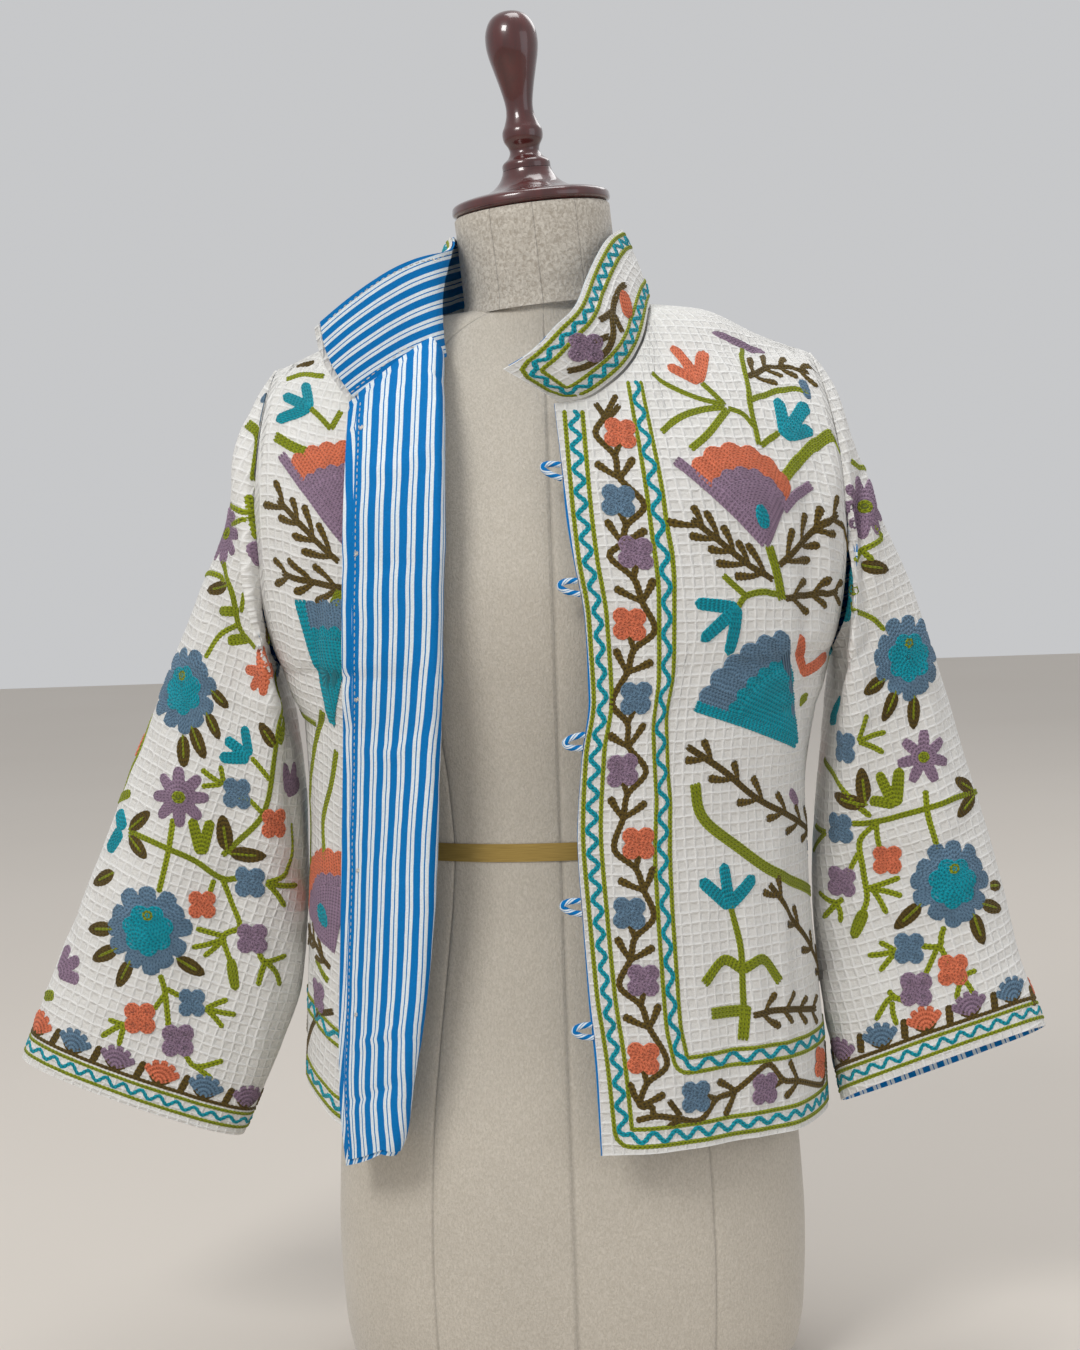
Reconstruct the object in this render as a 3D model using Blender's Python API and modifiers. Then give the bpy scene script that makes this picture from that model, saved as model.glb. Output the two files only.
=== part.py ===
"""An embroidered jacket of waffle cotton, worn open on a limbless dress form.

The form stands on the ground (z = 0) and faces -Y; +X is to the viewer's right.
Sizes in the tables are millimetres. One front of the jacket hangs open, the
other has its edge folded back outward, with that end of the collar turned out.
"""

import bmesh
import bpy
from bisect import bisect_right
from math import acos, asin, cos, pi, radians, sin, sqrt
from mathutils import Matrix, Vector

MM = 0.001
CLOTH = 1.4          # thickness of the waffle cotton
LINING = 0.9         # thickness of the striped lining
SEAM = 0.3           # pieces that are sewn together stand this far apart
SHOULDER_Y = -5.0    # the shoulder seam lies a little forward of the middle
DOME_FRONT = 140.0   # how far below the shoulder the front reaches its full depth
DOME_BACK = 55.0     # the same for the back
ARM_TOP, ARM_LOW = 765.0, 548.0     # armhole, from shoulder point to underarm
ARM_FRONT, ARM_BACK = 55.0, 50.0    # half depths of the armhole
ARM_STEPS = 12       # rows of cloth from underarm to shoulder
FOLD_RADIUS = 5.5    # roll of the folded-back front edge
NECK_RIGHT, NECK_LEFT = 78.0, 86.0  # where the shoulder seams meet the neckline
LOOP_TUBE = 4.4      # diameter of the rouleau loops
LOOP_REACH = 13.0    # how far a loop stands out from the front edge
LOOP_HALF = 4.6      # half the spread of its two legs
BUTTON = 10.0        # diameter of a covered button


def table(columns, *rows):
    """Name the columns of a short table; every row starts with its key."""
    names = columns.split()
    return {name: [row[i] for row in rows] for i, name in enumerate(names)}, names[0]


def read(source, column, at):
    """Smooth value of a column at a key, without overshoot between the rows."""
    columns, key = source
    xs, ys = columns[key], columns[column]
    if at <= xs[0]:
        return ys[0]
    if at >= xs[-1]:
        return ys[-1]
    i = bisect_right(xs, at) - 1
    slope = [(ys[k + 1] - ys[k]) / (xs[k + 1] - xs[k]) for k in range(len(xs) - 1)]

    def tangent(k):
        if k == 0 or k == len(xs) - 1:
            return slope[min(k, len(slope) - 1)]
        a, b = slope[k - 1], slope[k]
        return 0.0 if a * b <= 0 else 2 * a * b / (a + b)

    h = xs[i + 1] - xs[i]
    u = (at - xs[i]) / h
    return (ys[i] * (1 + 2 * u) * (1 - u) ** 2 + ys[i + 1] * u * u * (3 - 2 * u)
            + tangent(i) * h * u * (1 - u) ** 2 - tangent(i + 1) * h * u * u * (1 - u))


def mix(a, b, t):
    return a + (b - a) * t


def bump(at, centre, width):
    """A soft ridge: 1 at its centre, 0 beyond its width."""
    d = abs(at - centre) / width
    return 0.0 if d >= 1 else (1 + cos(pi * d)) / 2


# Side edges of the jacket's body, and its depth at the centre front and back.
body = table(
    "z     right  left  front  back",
    (190,  197,  199,  -147,  134),
    (240,  195,  197,  -144,  126),
    (300,  191,  194,  -142,  114),
    (362,  186,  190,  -140,  106),
    (437,  184,  186,  -140,  102),
    (511,  195,  188,  -139,  101),
    (548,  203,  198,  -138,  103),
    (600,  205,  200,  -137,  106),
    (650,  205,  200,  -130,  108),
    (700,  205,  200,  -117,  108),
    (740,  205,  200,  -108,  106),
    (830,  205,  200,  -100,  104),
)

# The shoulder line, by distance out from the middle.
shoulder = table(
    "x    right  left",
    (0,    815,   815),
    (40,   811,   811),
    (80,   804,   803),
    (116,  799,   796),
    (160,  778,   780),
    (194,  765,   765),
)

# Wearer's left front (viewer's right): its free edge and its top edge.
left_edge = table(
    "z     x",
    (203,  21),
    (260,  20),
    (317,  16),
    (373,  13),
    (423,  11),
    (485,  16),
    (527,  23),
    (582,  21),
    (623,  15),
    (685,   9),
    (732,   5),
)
left_top = table(
    "x     z",
    (5,   731),
    (25,  733),
    (45,  744),
    (62,  760),
    (72,  778),
    (78,  804),
)
left_hem = table(
    "s     z",
    (0.0, 207),
    (0.6, 205),
    (1.0, 202),
)

# Wearer's right front (viewer's left): the fold, and the strip turned back from it.
right_fold = table(
    "z     x",
    (206, -126),
    (222, -120),
    (245, -116),
    (356,  -98),
    (433,  -90),
    (599,  -80),
    (700,  -75),
    (776,  -74),
)
right_top = table(
    "x     z",
    (74,  776),
    (79,  786),
    (86,  803),
)
right_hem = table(
    "s     z",
    (0.0, 206),
    (0.5, 214),
    (1.0, 236),
)
flap = table(
    "t     edge_x  edge_z  stand",
    (0.0,  -163,  190,   10),
    (0.08, -166,  236,   11),
    (0.3,  -160,  370,   13),
    (0.55, -151,  520,   14),
    (0.8,  -145,  640,   13),
    (1.0,  -140,  738,   10),
)

# Loops by height and the droop of each; buttons by their place up the folded front.
loop_places = [(684, 0.25), (604, 0.10), (497, -0.05), (380, 0.12), (292, 0.05)]
button_places = [0.95, 0.785, 0.60, 0.37, 0.18]

# Back: neckline, by distance from the middle.
back_top = table(
    "x     z",
    (0,   799),
    (40,  797),
    (66,  799),
    (78,  801),
    (86,  803),
)

# The sleeves, from armhole to cuff: outer and inner line, then their half depths.
sleeve_left_rows = table(
    "t     out_x  out_z  in_x  in_z  mid_y  front  back  tilt",
    (0.0,   194,  765,  205,  548,   -5,   55,   50,   0.00),
    (0.05,  205,  750,  208,  540,   -5,   57,   52,   0.00),
    (0.12,  219,  708,  208,  520,   -3,   58,   53,   0.00),
    (0.22,  238,  656,  205,  485,    0,   56,   52,   0.00),
    (0.34,  266,  588,  199,  437,    4,   52,   50,   0.02),
    (0.46,  290,  518,  194,  390,    6,   48,   47,   0.06),
    (0.58,  306,  459,  193,  350,    4,   45,   44,   0.12),
    (0.70,  322,  400,  195,  308,    0,   42,   41,   0.20),
    (0.80,  333,  352,  198,  272,   -6,   40,   39,   0.28),
    (0.90,  342,  305,  203,  238,  -15,   37,   36,   0.36),
    (1.0,   358,  256,  207,  206,  -26,   34,   34,   0.42),
)
sleeve_right_rows = table(
    "t     out_x  out_z  in_x  in_z  mid_y  front  back  tilt",
    (0.0,  -197,  765, -203,  548,   -5,   55,   50,   0.00),
    (0.05, -210,  747, -206,  538,   -5,   58,   52,   0.00),
    (0.12, -226,  712, -203,  518,   -3,   60,   53,   0.00),
    (0.22, -235,  662, -196,  480,    0,   58,   52,   0.00),
    (0.34, -262,  604, -193,  430,    4,   54,   50,   0.00),
    (0.46, -287,  548, -194,  385,    6,   50,   48,   0.00),
    (0.58, -312,  490, -197,  343,    6,   47,   45,   0.02),
    (0.70, -336,  434, -203,  300,    5,   44,   43,   0.04),
    (0.80, -358,  384, -216,  264,    3,   42,   41,   0.04),
    (0.90, -384,  325, -233,  226,    0,   39,   38,   0.05),
    (1.0,  -413,  255, -250,  190,   -4,   36,   35,   0.06),
)

# Large soft folds: on each sleeve along its length, by place round the tube.
sleeve_folds = table(
    "turn   depth  width  low   high",
    (38,    7.0,   30,   0.02, 0.46),
    (78,   -6.0,   28,   0.04, 0.42),
    (122,   5.0,   30,   0.12, 0.60),
    (62,    5.0,   28,   0.44, 0.97),
    (104,  -4.0,   26,   0.50, 0.98),
    (215,   6.0,   32,   0.05, 0.60),
    (262,  -6.0,   30,   0.10, 0.70),
    (310,   6.0,   30,   0.02, 0.45),
    (285,   5.0,   30,   0.50, 0.97),
)
# On the body, by place across (1 is the side or armhole edge) and height.
body_folds = table(
    "x      depth  width  low   high",
    (-150,  -5.0,   24,   200,  560),
    (-112,   3.0,   22,   200,  420),
    (60,     2.5,   30,   200,  420),
    (118,   -4.0,   26,   200,  470),
    (166,    6.0,   26,   200,  610),
)
back_folds = table(
    "x      depth  width  low   high",
    (-150,  -4.0,   26,   200,  620),
    (-90,    5.0,   30,   200,  560),
    (-30,   -4.0,   28,   200,  480),
    (40,     5.0,   30,   200,  640),
    (105,   -5.0,   28,   200,  540),
    (160,    4.0,   26,   200,  600),
)

# The collar, from its end on the wearer's left round the neck: from seam to top edge.
collar_rows = table(
    "k      dx     dy     dz",
    (0.0,   -38,   -26,   22),
    (0.08,  -34,   -24,   40),
    (0.16,  -38,   -20,   40),
    (0.22,  -28,   -11,   49),
    (0.27,  -17,    -4,   52),
    (0.36,   -8,    -5,   53),
    (0.45,    0,    -4,   54),
    (0.54,    8,    -5,   53),
    (0.58,    7,    -3,   52),
    (0.63,   12,    -2,   51),
    (0.70,   17,     0,   52),
    (0.76,   17,     2,   55),
    (0.81,   14,     4,   58),
    (0.85,    5,     4,   59),
    (0.92,   -9,     0,   57),
    (1.0,   -20,    -6,   49),
)

# The dress form: half width, front and back half depth of each level, and how
# square its section is (below 1 fuller, above 1 leaner than an ellipse).
form_rows = table(
    "z    half  front  back  power",
    (0,   148,    92,    96,  0.88),
    (6,   160,   101,   105,  0.88),
    (22,  171,   110,   114,  0.88),
    (55,  176,   115,   119,  0.88),
    (110, 178,   117,   121,  0.88),
    (160, 176,   116,   121,  0.88),
    (215, 171,   112,   117,  0.88),
    (270, 161,   105,   108,  0.88),
    (330, 148,    98,    97,  0.88),
    (380, 138,    93,    89,  0.88),
    (415, 134,    92,    86,  0.88),
    (460, 138,    95,    87,  0.88),
    (520, 150,   106,    92,  0.88),
    (570, 158,   116,    96,  0.88),
    (600, 160,   118,    97,  0.88),
    (640, 162,   110,    97,  0.88),
    (680, 166,    97,    95,  0.90),
    (715, 168,    84,    88,  0.94),
    (740, 167,    74,    80,  1.00),
    (757, 163,    66,    72,  1.06),
    (769, 156,    61,    66,  1.12),
    (780, 148,    58,    62,  1.20),
    (790, 129,    57,    59,  1.30),
    (797, 106,    57,    57,  1.36),
    (801,  81,    57,    56,  1.36),
    (803,  60,    57,    56,  1.10),
)
RIBBON_TOP = 420.0
RIBBON_HEIGHT = 13.0
NECK_BASE = Vector((0.5, -1, 802))
NECK_LENGTH = 74.0
NECK_LEAN = radians(-5.0)
NECK_HALF = 57.5

# Turned profiles: radius against height above the cap's underside.
cap_profile = [
    (54, 0), (58, 2), (58.5, 5), (57, 8.5), (50, 11),
    (38, 13), (28, 17), (22, 22), (19, 27), (18, 30),
]
finial_profile = [
    (17.8, 0), (17.4, 5), (13, 9), (11, 13), (11.8, 17), (14.5, 22),
    (14.8, 28), (12.6, 33), (10.4, 40), (10.2, 48), (12.5, 60), (15.5, 72),
    (18.2, 83), (19.3, 92), (18.4, 101), (14.6, 109), (8.5, 113.5), (0.0, 115),
]


def armhole(turn, side):
    """Seam point of the armhole: 0 degrees at the shoulder, 90 front, 180 underarm."""
    rows = sleeve_left_rows if side > 0 else sleeve_right_rows
    c, s = cos(radians(turn)), sin(radians(turn))
    mid_x = (read(rows, "out_x", 0) + read(rows, "in_x", 0)) / 2
    half_x = (read(rows, "out_x", 0) - read(rows, "in_x", 0)) / 2
    depth = ARM_FRONT if s >= 0 else ARM_BACK
    return Vector((mid_x + half_x * c + side * 12 * s * s,
                   SHOULDER_Y - depth * s,
                   (ARM_TOP + ARM_LOW) / 2 + (ARM_TOP - ARM_LOW) / 2 * c))


def armhole_at(z, side, front):
    """The same seam by height, as x and y; below the underarm it is the side seam."""
    if z <= ARM_LOW:
        edge = read(body, "right" if side > 0 else "left", z)
        low = armhole(180, side)
        blend = max(0.0, (z - ARM_LOW + 40) / 40)
        return mix(side * edge, low.x, blend), SHOULDER_Y
    c = min(1.0, (z - (ARM_TOP + ARM_LOW) / 2) / ((ARM_TOP - ARM_LOW) / 2))
    turn = acos(max(-1.0, c)) * 180 / pi
    point = armhole(turn if front else -turn, side)
    return point.x, point.y


def body_point(x, z, front, folds):
    """A point of the jacket's body, inside of the cloth, seen from front or back."""
    side = 1 if x >= 0 else -1
    edge_x, edge_y = armhole_at(z, side, front)
    across = min(1.0, abs(x / edge_x))
    rise = min(1.0, max(0.0, (z - ARM_LOW) / 70))
    turn = mix(pi / 2, radians(62), rise)
    angle = asin(across * sin(turn))
    round_off = (cos(angle) - cos(turn)) / (1 - cos(turn))
    depth = read(body, "front" if front else "back", z)
    ridge = read(shoulder, "right" if side > 0 else "left", abs(x))
    dome = DOME_FRONT if front else DOME_BACK
    drop = min(1.0, max(0.0, ridge - z) / dome)
    depth = SHOULDER_Y + (depth - SHOULDER_Y) * sqrt(1 - (1 - drop) ** 2)
    y = edge_y + (depth - edge_y) * round_off + (-SEAM / 2 if front else SEAM / 2)
    columns = folds[0]
    for i in range(len(columns["x"])):
        low, high = columns["low"][i], columns["high"][i]
        fade = 0.0 if z > high else sin(pi / 2 * (high - z) / (high - low))
        lift = columns["depth"][i] * bump(x, columns["x"][i], columns["width"][i])
        y += (-lift if front else lift) * fade * min(1.0, (1 - across) * 6)
    return Vector((x, y, z))


def level(t, low, high):
    return low + t * (high - low)


def rows_for(hem, below):
    """Heights of the rows as parts of the side edge: plain below, armhole steps above."""
    ts = [(ARM_LOW - hem) * i / below / (ARM_TOP - hem) for i in range(below)]
    for i in range(ARM_STEPS + 1):
        z = (ARM_TOP + ARM_LOW) / 2 - (ARM_TOP - ARM_LOW) / 2 * cos(pi * i / ARM_STEPS)
        ts.append((z - hem) / (ARM_TOP - hem))
    return ts


def front_left_point(s, t):
    """Wearer's left front: s runs from its free edge to the side, t from hem to top."""
    near = read(left_edge, "x", mix(203, 732, t))
    top_x = mix(5.0, 194.0, s)
    top = read(left_top, "z", top_x) if top_x < 78 else read(shoulder, "right", top_x)
    z = level(t, read(left_hem, "z", s), top)
    edge_x, _ = armhole_at(z, 1, True)
    return body_point(mix(near, edge_x, s), z, True, body_folds)


def front_right_panel(s, t):
    """Wearer's right front behind the flap: s from the fold to the side."""
    top_x = mix(74.0, 197.0, s)
    if top_x < 86:
        top = read(right_top, "z", top_x)
    else:
        top = read(shoulder, "left", min(194.0, top_x))
    z = level(t, read(right_hem, "z", s), top)
    edge_x, _ = armhole_at(z, -1, True)
    near = read(right_fold, "x", level(t, 206, 776))
    return body_point(mix(near, edge_x, s), z, True, body_folds)


def front_right_point(s, t):
    """The whole wearer's right front: 1 the side, 0 the start of the fold, -1 the flap's edge."""
    if s >= 0:
        return front_right_panel(s, t)
    start = front_right_panel(0, t)
    ahead = (start - front_right_panel(0.06, t)).normalized()
    above, below = front_right_panel(0, min(1.0, t + 0.02)), front_right_panel(0, max(0.0, t - 0.02))
    up = (above - below).normalized()
    out = ahead.cross(up).normalized()
    if out.y > 0:
        out = -out
    top_of_roll = start + out * 2 * (FOLD_RADIUS + CLOTH)
    roll = 0.22
    if s > -roll:
        turn = pi * -s / roll
        radius = FOLD_RADIUS + CLOTH
        return start + out * radius * (1 - cos(turn)) + ahead * radius * sin(turn)
    far = Vector((read(flap, "edge_x", t), 0, read(flap, "edge_z", t)))
    behind = body_point(far.x, max(far.z, 205), True, body_folds)
    far.y = behind.y - 2 * CLOTH - read(flap, "stand", t)
    u = (-s - roll) / (1 - roll)
    swell = 4 * sin(pi * u) * (1 + 0.5 * sin(9 * t))
    return top_of_roll.lerp(far, u) + Vector((0, -swell, 0))


def back_point(s, t):
    """The back: s from -1 at the wearer's right side to 1 at the left."""
    side = 1 if s >= 0 else -1
    arm = 194.0 if side > 0 else 197.0
    top_x = abs(s) * arm
    name = "right" if side > 0 else "left"
    neck = 78.0 if side > 0 else 86.0
    if top_x < neck:
        top = read(back_top, "z", top_x * 86 / neck)
    else:
        top = read(shoulder, name, min(194.0, top_x))
    z = level(t, mix(202, 200 if side > 0 else 236, abs(s) ** 3), top)
    edge_x, _ = armhole_at(z, side, False)
    return body_point(abs(s) * edge_x, z, False, back_folds)


def sleeve_point(turn, t, side):
    """A sleeve: turn in degrees from its outer line towards the front, t down its length."""
    rows = sleeve_left_rows if side > 0 else sleeve_right_rows
    outer = Vector((read(rows, "out_x", t), 0, read(rows, "out_z", t)))
    inner = Vector((read(rows, "in_x", t), 0, read(rows, "in_z", t)))
    c, s = cos(radians(turn)), sin(radians(turn))
    point = (outer + inner) / 2 + (outer - inner) / 2 * c
    depth = read(rows, "front" if s >= 0 else "back", t)
    flat = mix(1.0, 0.72, min(1.0, t * 1.6))
    wave = abs(s) ** flat * (1 if s >= 0 else -1)
    point.y = read(rows, "mid_y", t) - depth * wave
    point.z += depth * wave * read(rows, "tilt", t)
    point.x += side * 12 * s * s * max(0.0, 1 - t / 0.2)
    columns = sleeve_folds[0]
    for i in range(len(columns["turn"])):
        low, high = columns["low"][i], columns["high"][i]
        if low < t < high:
            lift = columns["depth"][i] * bump(turn % 360, columns["turn"][i], columns["width"][i])
            lift *= sin(pi * (t - low) / (high - low))
            point += Vector((c * 0.6 * side, -s, c * 0.4)) * lift
    return point


def sleeve_mesh_point(turn, t, side):
    """The sleeve as sewn: its head stands clear of the body's cloth all round."""
    point = sleeve_point(turn, t, side)
    under = (1 - cos(radians(turn))) / 2
    clear = (SEAM + 0.7 + (2 * CLOTH + 0.3) * under ** 2) * max(0.0, 1 - t / 0.5)
    point.x += side * clear
    return point


def seam_path():
    """The neckline seam from the wearer's left front round the back to the flap's edge."""
    points = [front_left_point(mix(0.03, 0.386, sin(pi / 2 * i / 20)), 1) for i in range(21)]
    points += [back_point(mix(NECK_RIGHT / 194, 0, i / 6), 1) for i in range(1, 7)]
    points += [back_point(mix(0, -NECK_LEFT / 197, i / 6), 1) for i in range(1, 6)]
    points += [front_right_point(mix(0.0976, 0, (i / 10) ** 2), 1) for i in range(11)]
    points += [front_right_point(mix(0, -0.22, i / 5), 1) for i in range(1, 5)]
    points += [front_right_point(mix(-0.22, -1, i / 6), 1) for i in range(7)]
    lengths = [0.0]
    for a, b in zip(points, points[1:]):
        lengths.append(lengths[-1] + (b - a).length)
    return points, [d / lengths[-1] for d in lengths]


def collar_point(k, h):
    """The collar: k along the neckline seam, h from the seam to its top edge."""
    points, places = neckline
    i = min(len(points) - 2, bisect_right(places, k) - 1)
    base = points[i].lerp(points[i + 1], (k - places[i]) / (places[i + 1] - places[i]))
    up = Vector([read(collar_rows, name, k) for name in ("dx", "dy", "dz")])
    lift = 2 * CLOTH + 0.5 + 2.0 * bump(k, 0.77, 0.10)
    swell = 3.0 * sin(pi * h)
    return base + up.normalized() * lift + up * h + Vector((base.x / 90, base.y / 120, 0)) * swell


def offset(point, distance, side):
    """The same sheet moved along its own normal."""
    def moved(a, b):
        d = 0.004
        across = point(min(1.0, a + d), b) - point(max(-1.0, a - d), b)
        along = point(a, min(1.0, b + d)) - point(a, max(0.0, b - d))
        return point(a, b) + across.cross(along).normalized() * distance * side
    return moved


def grid(name, columns, rows, point, closed=False):
    """A sheet of quads through point(column, row), as a mesh in metres."""
    verts = [point(c, r) * MM for r in rows for c in columns]
    n = len(columns)
    faces = []
    for j in range(len(rows) - 1):
        for i in range(n if closed else n - 1):
            k = (i + 1) % n
            faces.append((j * n + i, j * n + k, (j + 1) * n + k, (j + 1) * n + i))
    mesh = bpy.data.meshes.new(name)
    mesh.from_pydata(verts, [], faces)
    mesh.update()
    return mesh


def add(mesh, material, smooth=50):
    obj = bpy.data.objects.new(mesh.name, mesh)
    obj.data.materials.append(material)
    mesh.shade_smooth()
    mesh.set_sharp_from_angle(angle=radians(smooth))
    jacket.objects.link(obj)
    return obj


def thicken(obj, thickness, outward):
    """Give a sheet its wall, on the side its faces look to when outward is true."""
    wall = obj.modifiers.new("wall", "SOLIDIFY")
    wall.thickness = thickness * MM
    wall.offset = 1.0 if outward else -1.0
    wall.use_even_offset = True
    return obj


def flip(mesh):
    mesh.flip_normals()
    return mesh


def even(count, start=0.0, end=1.0):
    return [start + (end - start) * i / (count - 1) for i in range(count)]


def straight(rows, t, point):
    """A point on the straight run between two rows, as the finished mesh has it."""
    i = min(len(rows) - 2, bisect_right(rows, t) - 1)
    return point(rows[i]).lerp(point(rows[i + 1]), (t - rows[i]) / (rows[i + 1] - rows[i]))


def trimmed(values, first, last):
    """Pull the end rows in a little, so that neighbours stand apart at the seam."""
    out = list(values)
    out[0] += first
    out[-1] -= last
    return out


def finish(name, color, roughness, metallic=0.0, sheen=0.0):
    material = bpy.data.materials.new(name)
    material.use_nodes = True
    shader = material.node_tree.nodes["Principled BSDF"]
    shader.inputs["Base Color"].default_value = (*color, 1)
    shader.inputs["Roughness"].default_value = roughness
    shader.inputs["Metallic"].default_value = metallic
    shader.inputs["Sheen Weight"].default_value = sheen
    return material


def build_jacket():
    waffle = finish("waffle cotton", (0.84, 0.82, 0.76), 0.85, sheen=0.2)
    stripe = finish("striped cotton lining", (0.16, 0.45, 0.72), 0.8)

    rows = rows_for(202, 9)
    across = even(5, 0, 0.3) + [0.34, 0.362, 0.376, 0.386] + even(7, 0.47, 1)
    thicken(add(grid("front_left", across, rows, front_left_point), waffle), CLOTH, True)

    turned_back = [-1, -0.84, -0.68, -0.52, -0.36, -0.22, -0.165, -0.11, -0.055]
    rows = rows_for(236, 9)
    across = turned_back + [0, 0.04, 0.07, 0.086, 0.0976] + even(8, 0.2, 1)
    thicken(add(flip(grid("front_right", across, rows, front_right_point)), waffle), CLOTH, True)
    inside = [-0.99] + across[1:11]
    point = offset(front_right_point, SEAM + 0.4 + LINING, 1)
    mesh = grid("flap_lining", inside, trimmed(rows, 0.002, 0.006), point)
    thicken(add(flip(mesh), stripe), LINING, True)

    middle = [-NECK_LEFT / 197] + even(7, -0.34, 0.32) + [NECK_RIGHT / 194]
    across = even(5, -1, -0.53) + middle + even(5, 0.51, 1)
    thicken(add(flip(grid("back", across, rows_for(202, 9), back_point)), waffle), CLOTH, True)

    around, heights = even(24, 0, 0.71) + even(13, 0.73, 0.90) + even(5, 0.92, 1), even(5)
    thicken(add(grid("collar", around, heights, collar_point), waffle), CLOTH, True)
    point = offset(collar_point, -(SEAM + 0.5 + LINING), 1)
    mesh = grid("collar_lining", trimmed(around, 0.003, 0.003), trimmed(heights, 0.02, 0.015), point)
    thicken(add(mesh, stripe), LINING, True)

    turns = even(2 * ARM_STEPS + 1, 0, 360)[:-1]
    downs = even(15)
    for name, side in (("sleeve_left", 1), ("sleeve_right", -1)):
        mesh = grid(name, turns, downs, lambda a, t, s=side: sleeve_mesh_point(a, t, s), closed=True)
        if side < 0:
            mesh.flip_normals()
        thicken(add(mesh, waffle), CLOTH, True)

    band = [13 / 14, 0.998]
    inner = offset(lambda a, t: sleeve_mesh_point(a * 360, t, 1), SEAM + 0.2 + LINING, -1)
    mesh = grid("cuff_lining_left", even(2 * ARM_STEPS + 1)[:-1], band, inner, closed=True)
    thicken(add(mesh, stripe), LINING, True)


def build_fastening():
    stripe = finish("striped rouleau", (0.45, 0.60, 0.75), 0.8)
    covered = finish("covered button", (0.80, 0.78, 0.72), 0.8)

    rows = rows_for(202, 9)
    for number, (height, droop) in enumerate(loop_places, 1):
        t = (height - 203) / (732 - 203)
        reach = Vector((-1, -0.12, droop)).normalized()
        points = []
        for i in range(9):
            turn = pi * (i / 8 - 0.5)
            rise = LOOP_HALF * sin(turn)
            edge = straight(rows, t + rise / (732 - 203), lambda v: front_left_point(0.0, v))
            stand = 0.6 + 2.4 * abs(droop) + LOOP_REACH * cos(turn)
            points.append(edge + reach * stand + Vector((0, -CLOTH / 2, 0)))
        curve = bpy.data.curves.new(f"loop_{number}", "CURVE")
        curve.dimensions = "3D"
        curve.bevel_depth = LOOP_TUBE / 2 * MM
        curve.bevel_resolution = 2
        curve.use_fill_caps = True
        spline = curve.splines.new("POLY")
        spline.points.add(len(points) - 1)
        for place, p in zip(spline.points, points):
            place.co = (*(p * MM), 1)
        loop = bpy.data.objects.new(curve.name, curve)
        loop.data.materials.append(stripe)
        jacket.objects.link(loop)

    for number, t in enumerate(button_places, 1):
        foot = offset(front_right_point, CLOTH + SEAM, -1)(-0.8, t)
        on_flap = offset(front_right_point, CLOTH + SEAM + BUTTON * 0.3 + 0.35, -1)(-0.8, t)
        mesh = bpy.data.meshes.new(f"button_{number}")
        ball = bmesh.new()
        bmesh.ops.create_uvsphere(ball, u_segments=10, v_segments=6, radius=BUTTON / 2 * MM)
        bmesh.ops.rotate(ball, verts=ball.verts, matrix=Matrix.Rotation(pi / 2, 3, "X"))
        bmesh.ops.scale(ball, verts=ball.verts, vec=(1, 0.6, 1))
        ball.to_mesh(mesh)
        ball.free()
        button = add(mesh, covered)
        button.location = on_flap * MM
        button.rotation_euler = (on_flap - foot).to_track_quat("Y", "Z").to_euler()


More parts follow.
